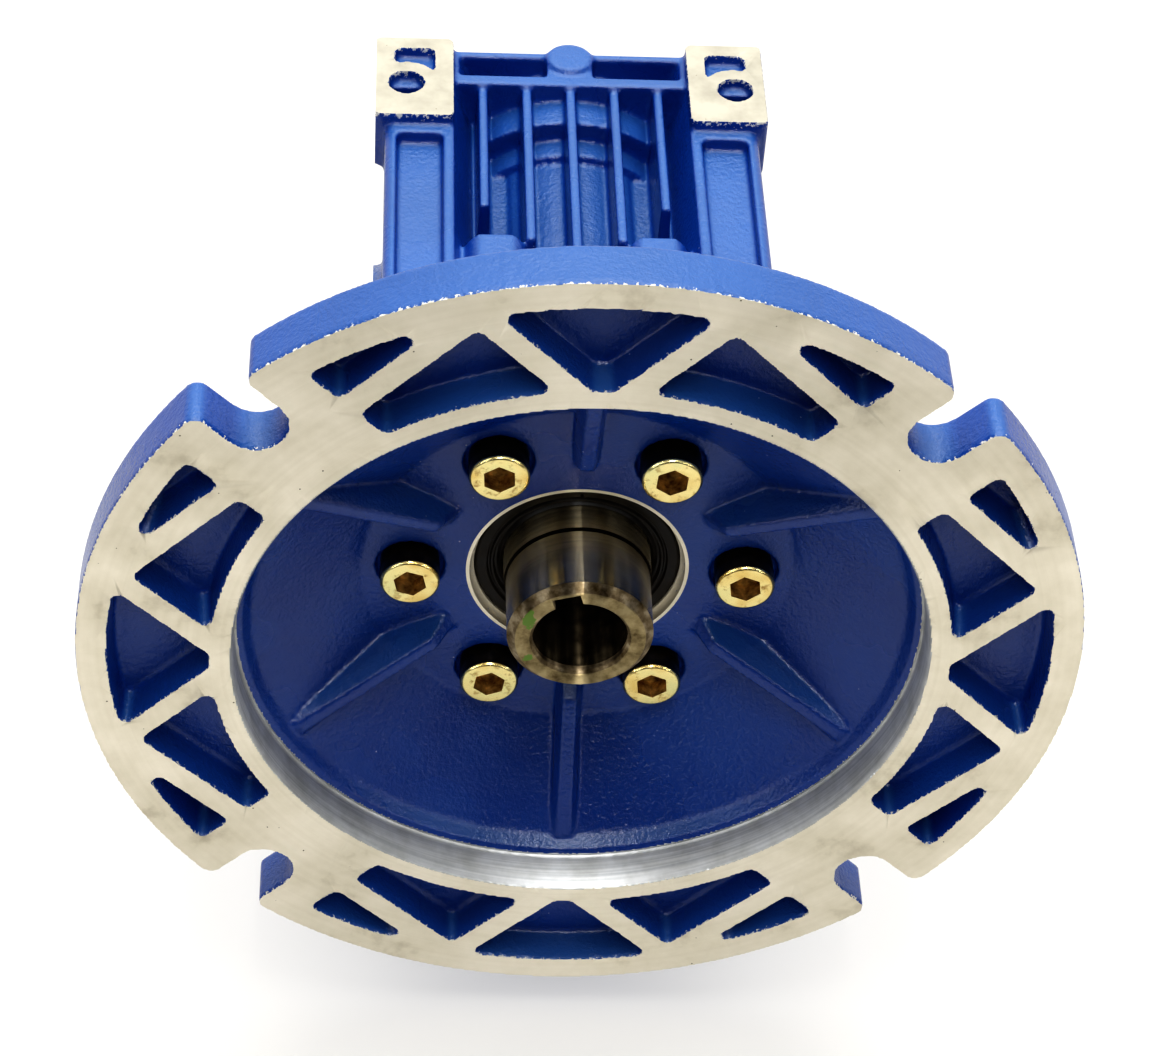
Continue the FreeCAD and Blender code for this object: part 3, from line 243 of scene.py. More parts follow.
def faced_rim():
    """Die-cast aluminium, faced on a lathe.

    It gives an ivory-grey matt face with faint rings round the worm axis, which pull the light into a
    streak along the radius, small black pores, and grey smudges from handling.
    """
    material, tree, place = new_finish("faced_aluminium_rim")
    radius = polar(tree, place, "Y", worm_z)[0]
    rings = add(tree, "TexNoise", {
        "W": radius, "Scale": 1000 / 1.3, "Detail": 4,
    }, noise_dimensions="1D")
    stain = add(tree, "TexNoise", {"Vector": place, "Scale": 1000 / 14, "Detail": 5, "Roughness": 0.62})
    ivory = add(tree, "ValToRGB", {"Fac": stain}, [
        (0.26, "#C4BDAB"), (0.40, "#DED8C7"), (0.66, "#E9E3D4"),
    ])
    ring_tone = add(tree, "ValToRGB", {"Fac": rings}, [(0.30, "#D9D5CA"), (0.60, "#FFFFFF")])
    colour = add(tree, "Mix", {
        "Factor": 0.12, "A": ivory, "B": ring_tone,
    }, data_type="RGBA", blend_type="MULTIPLY")
    cells = add(tree, "TexVoronoi", {"Vector": place, "Scale": 1000 / 4.2})
    pore = add(tree, "Math", {0: cells, 1: 0.035}, operation="LESS_THAN")
    colour = add(tree, "Mix", {"Factor": pore, "A": colour, "B": srgb("#5C564A")}, data_type="RGBA")
    fine = add(tree, "TexNoise", {"Vector": place, "Scale": 1000 / 0.7, "Detail": 2})
    skin = add(tree, "Bump", {"Height": rings, "Distance": 0.004 * MM, "Strength": 0.3})
    skin = add(tree, "Bump", {"Height": fine, "Distance": 0.02 * MM, "Strength": 0.5, "Normal": skin})
    rough = add(tree, "MapRange", {
        "Value": stain, "From Min": 0.3, "From Max": 0.7, "To Min": 0.58, "To Max": 0.46,
    })
    shader = add(tree, "BsdfPrincipled", {
        "Base Color": colour,
        "Metallic": 1.0,
        "Roughness": rough,
        "Anisotropic": 0.7,
        "Anisotropic Rotation": 0.25,
        "Tangent": add(tree, "Tangent", direction_type="RADIAL", axis="Y"),
        "Normal": skin,
    })
    add(tree, "OutputMaterial", {"Surface": shader})
    return material


def bored_pilot():
    """Die-cast aluminium, bored to size.

    It gives a cooler metal than the rim, satin, with fine tool rings round the bore that draw the lamp
    into a soft streak across it. The rings are 0.1 mm apart on the real one and drawn at 0.5 mm.
    """
    material, tree, place = new_finish("bored_aluminium_pilot")
    angle, along = polar(tree, place, "Y", worm_z)[1:]
    groove_place = add(tree, "CombineXYZ", {"X": angle, "Y": along})
    groove_place = add(tree, "VectorMath", {
        0: groove_place, 1: (1.2, 1000 / 0.5, 0),
    }, operation="MULTIPLY")
    grooves = add(tree, "TexNoise", {"Vector": groove_place, "Scale": 1.0, "Detail": 3})
    stain = add(tree, "TexNoise", {"Vector": place, "Scale": 1000 / 5, "Detail": 4, "Roughness": 0.6})
    grey = add(tree, "ValToRGB", {"Fac": grooves}, [(0.28, "#B0B2B3"), (0.62, "#CDCECD")])
    worn = add(tree, "ValToRGB", {"Fac": stain}, [(0.30, "#B5B2A8"), (0.60, "#FFFFFF")])
    colour = add(tree, "Mix", {
        "Factor": 0.4, "A": grey, "B": worn,
    }, data_type="RGBA", blend_type="MULTIPLY")
    skin = add(tree, "Bump", {"Height": grooves, "Distance": 0.012 * MM, "Strength": 0.4})
    shader = add(tree, "BsdfPrincipled", {
        "Base Color": colour,
        "Metallic": 1.0,
        "Roughness": 0.54,
        "Anisotropic": 0.5,
        "Anisotropic Rotation": 0.25,
        "Tangent": add(tree, "Tangent", direction_type="RADIAL", axis="Y"),
        "Normal": skin,
    })
    add(tree, "OutputMaterial", {"Surface": shader})
    return material


def faced_output():
    """Die-cast aluminium, faced round the output axis: pale, matt and ringed like the rim."""
    material, tree, place = new_finish("faced_aluminium_output")
    radius = polar(tree, place, "X")[0]
    rings = add(tree, "TexNoise", {
        "W": radius, "Scale": 1000 / 1.0, "Detail": 3,
    }, noise_dimensions="1D")
    stain = add(tree, "TexNoise", {"Vector": place, "Scale": 1000 / 12, "Detail": 5, "Roughness": 0.6})
    ivory = add(tree, "ValToRGB", {"Fac": stain}, [(0.30, "#BDB8A9"), (0.60, "#E8E3D5")])
    ring_tone = add(tree, "ValToRGB", {"Fac": rings}, [(0.30, "#C4C0B4"), (0.55, "#FFFFFF")])
    colour = add(tree, "Mix", {
        "Factor": 0.6, "A": ivory, "B": ring_tone,
    }, data_type="RGBA", blend_type="MULTIPLY")
    skin = add(tree, "Bump", {"Height": rings, "Distance": 0.03 * MM, "Strength": 0.6})
    spoke = add(tree, "VectorMath", {0: place, 1: (1, 0, 0)}, operation="MULTIPLY")
    spoke = add(tree, "VectorMath", {0: place, 1: spoke}, operation="SUBTRACT")
    shader = add(tree, "BsdfPrincipled", {
        "Base Color": colour,
        "Metallic": 1.0,
        "Roughness": 0.40,
        "Anisotropic": 0.6,
        "Tangent": spoke,
        "Normal": skin,
    })
    add(tree, "OutputMaterial", {"Surface": shader})
    return material


def milled_pads():
    """Die-cast aluminium, milled flat on the feet.

    It gives a pale, almost white matt face with faint waves of the cutter about 6 mm apart, and
    pores where the cut opens the casting.
    """
    material, tree, place = new_finish("milled_aluminium_feet")
    marks = add(tree, "TexWave", {
        "Vector": place, "Scale": 1000 / 20, "Distortion": 1.2, "Detail": 2,
    }, bands_direction="Y")
    stain = add(tree, "TexNoise", {"Vector": place, "Scale": 1000 / 7, "Detail": 4, "Roughness": 0.6})
    colour = add(tree, "ValToRGB", {"Fac": stain}, [(0.28, "#ACA89B"), (0.60, "#C0BCAF")])
    cells = add(tree, "TexVoronoi", {"Vector": place, "Scale": 1000 / 3.4})
    pore = add(tree, "Math", {0: cells, 1: 0.03}, operation="LESS_THAN")
    colour = add(tree, "Mix", {"Factor": pore, "A": colour, "B": srgb("#7A7464")}, data_type="RGBA")
    skin = add(tree, "Bump", {"Height": marks, "Distance": 0.01 * MM, "Strength": 0.4})
    shader = add(tree, "BsdfPrincipled", {
        "Base Color": colour,
        "Metallic": 1.0,
        "Roughness": 0.72,
        "Normal": skin,
    })
    add(tree, "OutputMaterial", {"Surface": shader})
    return material


def ground_steel():
    """Case-hardened steel, ground round its axis and oiled.

    It gives a dark polish in which the lamps draw long bright lines down the shaft, a rubbed brown
    chamfer, and a matt tan end face with two small dabs of green marking paint. The grinding
    marks, under 0.05 mm, are drawn at 0.3 mm.
    """
    material, tree, place = new_finish("ground_shaft_steel")
    radius, angle, along = polar(tree, place, "Y", worm_z)
    mark_place = add(tree, "CombineXYZ", {"X": angle, "Y": along, "Z": radius})
    mark_place = add(tree, "VectorMath", {
        0: mark_place, 1: (0.7, 1000 / 0.3, 60),
    }, operation="MULTIPLY")
    marks = add(tree, "TexNoise", {"Vector": mark_place, "Scale": 1.0, "Detail": 2})
    stain = add(tree, "TexNoise", {
        "Vector": place, "Scale": 1000 / 3.0, "Detail": 4, "Roughness": 0.62,
    })
    oil = add(tree, "TexNoise", {"Vector": place, "Scale": 1000 / 9.0, "Detail": 3})
    steel = add(tree, "ValToRGB", {"Fac": oil}, [
        (0.30, "#A09478"), (0.60, "#CEC2A4"), (0.80, "#C8B284"),
    ])
    rubbed = add(tree, "ValToRGB", {"Fac": stain}, [
        (0.34, "#43361F"), (0.52, "#80725A"), (0.64, "#A89C84"),
    ])
    tan = add(tree, "ValToRGB", {"Fac": stain}, [
        (0.30, "#685A3F"), (0.48, "#988A68"), (0.66, "#B3A582"),
    ])
    end = add(tree, "Math", {0: along, 1: shaft_end_y + end_face_depth}, operation="LESS_THAN")
    rub = add(tree, "Math", {0: along, 1: shaft_end_y + rubbed_depth}, operation="LESS_THAN")
    # Painted shadow: a near-black band 0.3 mm either side of the journal step stands in for the shade
    # where the shaft steps up.
    step_shadow_line = add(tree, "Math", {0: along, 1: journal_step_y, 2: 0.30 * MM}, operation="COMPARE")
    steel = add(tree, "Mix", {"Factor": step_shadow_line, "A": steel, "B": srgb("#17120C")}, data_type="RGBA")
    colour = add(tree, "Mix", {"Factor": rub, "A": steel, "B": rubbed}, data_type="RGBA")
    colour = add(tree, "Mix", {"Factor": end, "A": colour, "B": tan}, data_type="RGBA")
    # The motor bore is coloured a darker brown than the shaft's outside.
    in_bore = add(tree, "Math", {0: radius, 1: motor_bore_radius + 0.05 * MM}, operation="LESS_THAN")
    bore_tone = add(tree, "ValToRGB", {"Fac": stain}, [(0.34, "#40362A"), (0.66, "#A09074")])
    colour = add(tree, "Mix", {"Factor": in_bore, "A": colour, "B": bore_tone}, data_type="RGBA")
    ragged = add(tree, "TexNoise", {"Vector": place, "Scale": 1000 / 0.9, "Detail": 3})
    edge = add(tree, "MapRange", {
        "Value": ragged, "From Min": 0.3, "From Max": 0.7, "To Min": 0.6, "To Max": 1.3,
    })
    dabs = None
    for dab_x, dab_z, half_width, half_height in paint_dabs:
        centre = (dab_x * MM, shaft_end_y, worm_z + dab_z * MM)
        sizes = (half_width * MM, 1, half_height * MM)
        reach = add(tree, "VectorMath", {0: place, 1: centre}, operation="SUBTRACT")
        reach = add(tree, "VectorMath", {0: reach, 1: sizes}, operation="DIVIDE")
        reach = add(tree, "VectorMath", {0: reach}, operation="LENGTH")
        dab = add(tree, "Math", {0: reach, 1: edge}, operation="LESS_THAN")
        dabs = dab if dabs is None else add(tree, "Math", {0: dabs, 1: dab}, operation="MAXIMUM")
    paint_dab = add(tree, "Math", {0: dabs, 1: end}, operation="MULTIPLY")
    colour = add(tree, "Mix", {
        "Factor": paint_dab, "A": colour, "B": srgb("#6C8E34"),
    }, data_type="RGBA")
    metal = add(tree, "Math", {0: 1.0, 1: paint_dab}, operation="SUBTRACT")
    rough = add(tree, "MapRange", {
        "Value": marks, "From Min": 0.3, "From Max": 0.7, "To Min": 0.20, "To Max": 0.27,
    })
    rough = add(tree, "Math", {0: rub, 1: 0.22, 2: rough}, operation="MULTIPLY_ADD")
    skin = add(tree, "Bump", {"Height": marks, "Distance": 0.004 * MM, "Strength": 1.0})
    shader = add(tree, "BsdfPrincipled", {
        "Base Color": colour,
        "Metallic": metal,
        "Roughness": rough,
        "Anisotropic": 1.0,
        "Anisotropic Rotation": 0.25,
        "Tangent": add(tree, "Tangent", direction_type="RADIAL", axis="Y"),
        "Normal": skin,
    })
    add(tree, "OutputMaterial", {"Surface": shader})
    return material


def output_shaft_steel():
    """Turned and ground steel of the output shaft: grey, satin, with tool rings round its own axis."""
    material, tree, place = new_finish("turned_output_steel")
    radius, angle, along = polar(tree, place, "X")
    mark_place = add(tree, "CombineXYZ", {"X": angle, "Y": along, "Z": radius})
    mark_place = add(tree, "VectorMath", {
        0: mark_place, 1: (2, 1000 / 0.4, 1000 / 0.4),
    }, operation="MULTIPLY")
    marks = add(tree, "TexNoise", {"Vector": mark_place, "Scale": 1.0, "Detail": 3})
    stain = add(tree, "TexNoise", {"Vector": place, "Scale": 1000 / 6.0, "Detail": 4, "Roughness": 0.6})
    colour = add(tree, "ValToRGB", {"Fac": stain}, [(0.30, "#7D7970"), (0.65, "#B1ADA4")])
    skin = add(tree, "Bump", {"Height": marks, "Distance": 0.008 * MM, "Strength": 0.7})
    shader = add(tree, "BsdfPrincipled", {
        "Base Color": colour,
        "Metallic": 1.0,
        "Roughness": 0.34,
        "Anisotropic": 0.7,
        "Anisotropic Rotation": 0.25,
        "Tangent": add(tree, "Tangent", direction_type="RADIAL", axis="X"),
        "Normal": skin,
    })
    add(tree, "OutputMaterial", {"Surface": shader})
    return material


def yellow_zinc():
    """Zinc plate with a yellow passivation, on cold-headed steel screws.

    It gives a pale gold with greenish and rosy drifts, and brown smudges where grease has dried.
    """
    material, tree, place = new_finish("yellow_zinc_plate")
    drift = add(tree, "TexNoise", {"Vector": place, "Scale": 1000 / 6.0, "Detail": 2})
    smudge = add(tree, "TexNoise", {
        "Vector": place, "Scale": 1000 / 1.6, "Detail": 4, "Roughness": 0.65,
    })
    gold = add(tree, "ValToRGB", {"Fac": drift}, [
        (0.30, "#D9BE78"), (0.50, "#E9DA9E"), (0.70, "#DDD7A0"),
    ])
    brown = add(tree, "ValToRGB", {"Fac": smudge}, [(0.30, "#9A7A44"), (0.46, "#FFFFFF")])
    colour = add(tree, "Mix", {
        "Factor": 0.8, "A": gold, "B": brown,
    }, data_type="RGBA", blend_type="MULTIPLY")
    skin = add(tree, "Bump", {"Height": smudge, "Distance": 0.006 * MM, "Strength": 0.5})
    shader = add(tree, "BsdfPrincipled", {
        "Base Color": colour,
        "Metallic": 1.0,
        "Roughness": 0.26,
        "Normal": skin,
    })
    add(tree, "OutputMaterial", {"Surface": shader})
    return material


def grease_and_painted_light_zinc(name, dark_end, pale_end):
    """Zinc plate toned between two grease-browns, used for painted light in the sockets and painted
    shade on the heads' sides.
    """
    material, tree, place = new_finish(name)
    film = add(tree, "TexNoise", {"Vector": place, "Scale": 1000 / 1.8, "Detail": 4, "Roughness": 0.6})
    colour = add(tree, "ValToRGB", {"Fac": film}, [(0.34, dark_end), (0.68, pale_end)])
    skin = add(tree, "Bump", {"Height": film, "Distance": 0.03 * MM, "Strength": 0.6})
    shader = add(tree, "BsdfPrincipled", {
        "Base Color": colour, "Metallic": 0.6, "Roughness": 0.30, "Normal": skin,
    })
    add(tree, "OutputMaterial", {"Surface": shader})
    return material


def nitrile_rubber():
    """Moulded nitrile rubber: nearly black with a warm cast, matt, and wet with oil in patches."""
    material, tree, place = new_finish("moulded_nitrile_rubber")
    film_and_sheen = add(tree, "TexNoise", {"Vector": place, "Scale": 1000 / 3.0, "Detail": 4})
    colour = add(tree, "ValToRGB", {"Fac": film_and_sheen}, [(0.30, "#120F0C"), (0.70, "#241E18")])
    fine = add(tree, "TexNoise", {"Vector": place, "Scale": 1000 / 0.7, "Detail": 2})
    skin = add(tree, "Bump", {"Height": fine, "Distance": 0.02 * MM, "Strength": 0.4})
    rough = add(tree, "MapRange", {
        "Value": film_and_sheen, "From Min": 0.35, "From Max": 0.65, "To Min": 0.30, "To Max": 0.55,
    })
    shader = add(tree, "BsdfPrincipled", {
        "Base Color": colour,
        "Roughness": rough,
        "IOR": 1.5,
        "Specular IOR Level": 0.2,
        "Normal": skin,
    })
    add(tree, "OutputMaterial", {"Surface": shader})
    return material


def bearing_steel():
    """Ground bearing steel: cool, clean and mirror-like, with a faint cloud."""
    material, tree, place = new_finish("ground_bearing_steel")
    cloud = add(tree, "TexNoise", {"Vector": place, "Scale": 1000 / 12, "Detail": 3})
    colour = add(tree, "ValToRGB", {"Fac": cloud}, [(0.30, "#AFB1B3"), (0.70, "#CDCFD0")])
    skin = add(tree, "Bump", {"Height": cloud, "Distance": 0.004 * MM, "Strength": 0.4})
    shader = add(tree, "BsdfPrincipled", {
        "Base Color": colour, "Metallic": 1.0, "Roughness": 0.18, "Normal": skin,
    })
    add(tree, "OutputMaterial", {"Surface": shader})
    return material


def hobbed_bronze():
    """Cast tin bronze with hobbed teeth: warm brown-gold, satin, darker where the casting shows."""
    material, tree, place = new_finish("hobbed_bronze")
    cloud = add(tree, "TexNoise", {"Vector": place, "Scale": 1000 / 6, "Detail": 4})
    colour = add(tree, "ValToRGB", {"Fac": cloud}, [(0.30, "#9C6B34"), (0.70, "#C08A4A")])
    fine = add(tree, "TexNoise", {"Vector": place, "Scale": 1000 / 0.8, "Detail": 2})
    skin = add(tree, "Bump", {"Height": fine, "Distance": 0.01 * MM, "Strength": 0.5})
    shader = add(tree, "BsdfPrincipled", {
        "Base Color": colour, "Metallic": 1.0, "Roughness": 0.32, "Normal": skin,
    })
    add(tree, "OutputMaterial", {"Surface": shader})
    return material


def phosphated_spring_steel():
    """Phosphated spring steel of the circlips: charcoal, dull and slightly crystalline."""
    material, tree, place = new_finish("phosphated_spring_steel")
    cloud = add(tree, "TexNoise", {"Vector": place, "Scale": 1000 / 4, "Detail": 4})
    colour = add(tree, "ValToRGB", {"Fac": cloud}, [(0.30, "#2B2B2D"), (0.70, "#3E3E41")])
    crystal = add(tree, "TexVoronoi", {"Vector": place, "Scale": 1000 / 0.4})
    skin = add(tree, "Bump", {"Height": crystal, "Distance": 0.006 * MM, "Strength": 0.4})
    shader = add(tree, "BsdfPrincipled", {
        "Base Color": colour, "Metallic": 1.0, "Roughness": 0.46, "Normal": skin,
    })
    add(tree, "OutputMaterial", {"Surface": shader})
    return material


def annealed_copper():
    """Annealed copper sealing washer: soft pink-brown metal, dull from handling."""
    material, tree, place = new_finish("annealed_copper")
    cloud = add(tree, "TexNoise", {"Vector": place, "Scale": 1000 / 4, "Detail": 4})
    colour = add(tree, "ValToRGB", {"Fac": cloud}, [(0.30, "#A65F44"), (0.70, "#CF8A68")])
    fine = add(tree, "TexNoise", {"Vector": place, "Scale": 1000 / 0.6, "Detail": 2})
    skin = add(tree, "Bump", {"Height": fine, "Distance": 0.01 * MM, "Strength": 0.4})
    shader = add(tree, "BsdfPrincipled", {
        "Base Color": colour, "Metallic": 1.0, "Roughness": 0.40, "Normal": skin,
    })
    add(tree, "OutputMaterial", {"Surface": shader})
    return material


flange_enamel = stoving_enamel("blue_stoving_enamel_flange", "Y", flange_face_y, 0.7 * MM)
enamel = stoving_enamel("blue_stoving_enamel_housing", "Z", foot_top_z, 1.9 * MM, 20 * MM)
rim_metal = faced_rim()
pilot_metal = bored_pilot()
output_metal = faced_output()
foot_metal = milled_pads()
input_steel = ground_steel()
output_steel = output_shaft_steel()
zinc = yellow_zinc()
# Painted light: the sockets' pale amber, over an amber grease tone, brightens them where little light
# reaches.
socket_grease_and_painted_light = grease_and_painted_light_zinc("grease_and_painted_light_in_sockets", "#6E4E24", "#F0CC84")
# Painted shade: the heads' sides are near-black where the counterbores shade them.
painted_shade_head_sides = grease_and_painted_light_zinc("painted_shade_zinc_round_heads", "#0C0906", "#3A2E1A")
screw_finishes = (zinc, socket_grease_and_painted_light, painted_shade_head_sides)
rubber = nitrile_rubber()


# Mesh tools


def with_modifier(mesh, kind, **settings):
    """The mesh with one modifier applied."""
    scratch = bpy.data.objects.new("scratch", mesh)
    bpy.context.collection.objects.link(scratch)
    modifier = scratch.modifiers.new("step", kind)
    for name, value in settings.items():
        setattr(modifier, name, value)
    graph = bpy.context.evaluated_depsgraph_get()
    result = bpy.data.meshes.new_from_object(scratch.evaluated_get(graph))
    bpy.data.objects.remove(scratch)
    return result


def welded_copy(node):
    """A CAD node's mesh with its faces joined along their edges."""
    mesh = frame["nodes"][node].data.copy()
    work = bmesh.new()
    work.from_mesh(mesh)
    bmesh.ops.remove_doubles(work, verts=work.verts, dist=1e-6)
    work.to_mesh(mesh)
    work.free()
    mesh.materials.clear()
    return mesh


def points_of(mesh):
    flat = np.empty(len(mesh.vertices) * 3)
    mesh.vertices.foreach_get("co", flat)
    return flat.reshape(-1, 3)


def edge_ends(mesh):
    ends = np.empty(len(mesh.edges) * 2, dtype=np.int64)
    mesh.edges.foreach_get("vertices", ends)
    return ends.reshape(-1, 2).T


def soften(points, ends, passes, free):
    """Average each point with its neighbours, without shrinking.

    free holds a weight for each point and axis.
    """
    a, b = ends
    count = np.bincount(a, minlength=len(points)) + np.bincount(b, minlength=len(points))
    for step in range(2 * passes):
        total = np.empty_like(points)
        for axis in range(3):
            column = points[:, axis]
            total[:, axis] = np.bincount(a, column[b], len(points))
            total[:, axis] += np.bincount(b, column[a], len(points))
        share = smoothing_steps[step % 2]
        points += share * (total / count[:, None] - points) * free


def tear_edges(points, ends, face_y):
    """Make the edges of the rim's pockets ragged, where the facing cut breaks through the enamel."""
    on_face = np.abs(points[:, 1] - face_y) < 1e-7
    a, b = ends
    crossing = on_face[a] != on_face[b]
    rim_edge = np.unique(np.where(on_face[a], a, b)[crossing])
    for index in rim_edge:
        x, y, z = points[index]
        radius = math.hypot(x, z - worm_z)
        if rim_inner_radius + torn_edge_margin < radius < flange_radius - torn_edge_margin:
            sway = noise.noise_vector(Vector((x, 0, z)) * (1000 / 1.1))
            points[index, 0] += torn_edge * sway.x
            points[index, 2] += torn_edge * sway.z


def rounded_casting(node, flats, torn_face=None, fillings=()):
    """A casting with softened edges, whose machined flats stay flat.

    flats is a list of (axis, place) planes. Points on such a plane only move within it.
    """
    mesh = joined([(welded_copy(node), Matrix())] + [(filling, Matrix()) for filling in fillings])
    mesh = with_modifier(mesh, "REMESH", mode="VOXEL", voxel_size=casting_voxel, adaptivity=0.0)
    points = points_of(mesh)
    ends = edge_ends(mesh)
    free = np.ones_like(points)
    for axis, place in flats:
        near = np.abs(points[:, axis] - place) < flat_catch
        points[near, axis] = place
        free[near, axis] = 0.0
    soften(points, ends, casting_passes, free)
    if torn_face is not None:
        tear_edges(points, ends, torn_face)
    mesh.vertices.foreach_set("co", points.ravel())
    mesh.update()
    mesh = with_modifier(mesh, "DECIMATE", decimate_type="COLLAPSE", ratio=kept_share)
    points = points_of(mesh)
    for axis, place in flats:
        points[np.abs(points[:, axis] - place) < flat_snap, axis] = place
    mesh.vertices.foreach_set("co", points.ravel())
    mesh.update()
    return mesh


def face_table(mesh):
    """The centres and normals of a mesh's faces."""
    centres = np.empty(len(mesh.polygons) * 3)
    normals = np.empty(len(mesh.polygons) * 3)
    mesh.polygons.foreach_get("center", centres)
    mesh.polygons.foreach_get("normal", normals)
    return centres.reshape(-1, 3), normals.reshape(-1, 3)


def place_piece(name, mesh, body, materials, node, sharp, finish=None, flats=()):
    """Put a finished mesh in place of a CAD node; finish picks one of the materials for each face.

    Faces that lie in one of the flats are shaded flat.
    """
    obj = bpy.data.objects.new(name, mesh)
    bpy.context.collection.objects.link(obj)
    kept_finish = np.zeros(len(mesh.polygons), dtype=np.int32)
    mesh.polygons.foreach_get("material_index", kept_finish)
    mesh.materials.clear()
    for material in materials:
        mesh.materials.append(material)
    if finish is None:
        finish = kept_finish
    mesh.polygons.foreach_set("material_index", finish)
    centres, normals = face_table(mesh)
    smooth = np.abs(normals).max(axis=1) < straight
    for axis, place in flats:
        smooth &= np.abs(centres[:, axis] - place) > flat_shading_margin
    mesh.polygons.foreach_set("use_smooth", smooth)
    mesh.set_sharp_from_angle(angle=math.radians(sharp))
    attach(obj, body)
    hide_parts(node)


def mesh_from(points, faces):
    mesh = bpy.data.meshes.new("mesh")
    mesh.from_pydata(points, [], faces)
    mesh.update()
    return mesh


def eased(profile, radius, steps=3):
    """A closed profile with its corners rounded by up to this radius."""
    result = []
    for index, corner in enumerate(profile):
        corner = Vector(corner)
        inward = Vector(profile[index - 1]) - corner
        outward = Vector(profile[(index + 1) % len(profile)]) - corner
        if corner.y < 1e-9:
            result.append(tuple(corner))
            continue
        reach = min(radius, inward.length * 0.45, outward.length * 0.45)
        start = corner + inward.normalized() * reach
        end = corner + outward.normalized() * reach
        for step in range(steps + 1):
            t = step / steps
            result.append(tuple(start * (1 - t) ** 2 + corner * (2 * t * (1 - t)) + end * t ** 2))
    return result


def turned(profile, segments):
    """A solid turned about +Z from a closed profile of (height, radius) points."""
    points = []
    for height, radius in profile:
        for index in range(segments):
            turn = 2 * math.pi * index / segments
            points.append((radius * math.cos(turn), radius * math.sin(turn), height))
    faces = []
    for row in range(len(profile)):
        after = (row + 1) % len(profile)
        for index in range(segments):
            step = (index + 1) % segments
            faces.append((
                row * segments + index,
                row * segments + step,
                after * segments + step,
                after * segments + index,
            ))
    mesh = mesh_from(points, faces)
    work = bmesh.new()
    work.from_mesh(mesh)
    bmesh.ops.remove_doubles(work, verts=work.verts, dist=1e-7)
    bmesh.ops.dissolve_degenerate(work, edges=work.edges, dist=1e-7)
    bmesh.ops.recalc_face_normals(work, faces=work.faces)
    work.to_mesh(mesh)
    work.free()
    return mesh


def cut_by(mesh, tool_mesh):
    """The mesh with another closed mesh cut away."""
    tool = bpy.data.objects.new("tool", tool_mesh)
    bpy.context.collection.objects.link(tool)
    result = with_modifier(mesh, "BOOLEAN", operation="DIFFERENCE", object=tool, solver="EXACT")
    bpy.data.objects.remove(tool)
    return result


def joined(placed):
    """One mesh from (mesh, matrix) pairs; each face keeps its place in the list of materials."""
    work = bmesh.new()
    for mesh, matrix in placed:
        copy = mesh.copy()
        copy.transform(matrix)
        work.from_mesh(copy)
        bpy.data.meshes.remove(copy)
    result = bpy.data.meshes.new("joined")
    work.to_mesh(result)
    work.free()
    return result


def stood_at(place, out, turn_degrees=0.0):
    """A matrix that stands a turned mesh at a place, with its +Z pointing out."""
    turn = Matrix.Rotation(math.radians(turn_degrees), 4, "Z")
    return Matrix.Translation(place) @ out.to_track_quat("Z", "X").to_matrix().to_4x4() @ turn


def on_worm(radius, degrees, y):
    turn = math.radians(degrees)
    return Vector((radius * math.cos(turn), y, worm_z + radius * math.sin(turn)))


# Castings


def turned_pilot():
    """The pilot as the lathe leaves it: chamfer, wall and a narrow ledge.

    The wall stands 0.05 mm proud of the casting and the ledge 0.35 mm, so that both stay crisp.
    """
    proud = 0.05 * MM
    ledge = 0.35 * MM - pilot_depth
    chamfer = rim_inner_radius - pilot_radius
    wall = pilot_radius - proud
    return turned([
        (-0.01 * MM, rim_inner_radius + 0.02 * MM),
        (-chamfer, wall),
        (ledge, wall),
        (ledge, bare_ledge_radius),
        (-pilot_depth - 0.3 * MM, bare_ledge_radius + 0.05 * MM),
        (-pilot_depth - 0.3 * MM, pilot_radius + chamfer),
        (-chamfer, rim_inner_radius + 0.4 * MM),
    ], 256)


def turned_seal_mouth():
    """The seal's mouth as the lathe leaves it: a narrow bare ring and a chamfer down to the seal."""
    proud = 0.05 * MM
    return turned([
        (proud - plateau_depth, seal_mouth_radius + 0.55 * MM),
        (proud - plateau_depth, seal_mouth_radius - proud),
        (0.6 * MM - seal_mouth_depth, seal_mouth_radius - 0.12 * MM - proud),
        (-seal_mouth_depth, seal_mouth_radius - 0.8 * MM),
        (-seal_mouth_depth, seal_mouth_radius + 0.3 * MM),
        (-plateau_depth - 0.3 * MM, seal_mouth_radius + 0.5 * MM),
    ], 192)


def make_motor_flange():
    """The cast flange: enamelled, with the rim's face, the pilot and the seal's mouth turned bare."""
    flats = [(1, flange_face_y), (1, flange_high.y)]
    casting = rounded_casting("motor_flange", flats, flange_face_y)
    centres, normals = face_table(casting)
    depth = centres[:, 1] - flange_face_y
    radius = np.hypot(centres[:, 0], centres[:, 2] - worm_z)
    finish = np.zeros(len(centres), dtype=np.int32)
    faced, bored = 1, 2
    finish[((depth < near_flat) & (normals[:, 1] < -facing)) | (depth < on_flat)] = faced
    in_pilot = (depth < pilot_depth - 0.1 * MM) & (depth >= flat_margin)
    finish[in_pilot & (radius < pilot_radius + 0.6 * MM) & (radius > bare_ledge_radius)] = bored
    finish[(radius < seal_mouth_radius - 0.1 * MM) & (depth > plateau_depth + 0.2 * MM)] = faced
    pilot, seal_mouth = turned_pilot(), turned_seal_mouth()
    metals = (flange_enamel, rim_metal, pilot_metal)
    for mesh, kinds in (
        (casting, finish),
        (pilot, np.full(len(pilot.polygons), bored)),
        (seal_mouth, np.full(len(seal_mouth.polygons), faced)),
    ):
        for material in metals:
            mesh.materials.append(material)
        mesh.polygons.foreach_set("material_index", kinds.astype(np.int32))
    stand = stood_at(Vector((0, flange_face_y, worm_z)), Vector((0, -1, 0)))
    mesh = joined([(casting, Matrix()), (pilot, stand), (seal_mouth, stand)])
    place_piece(
        "motor_flange_casting", mesh, "gearbox", metals, "motor_flange", 50, flats=flats
    )


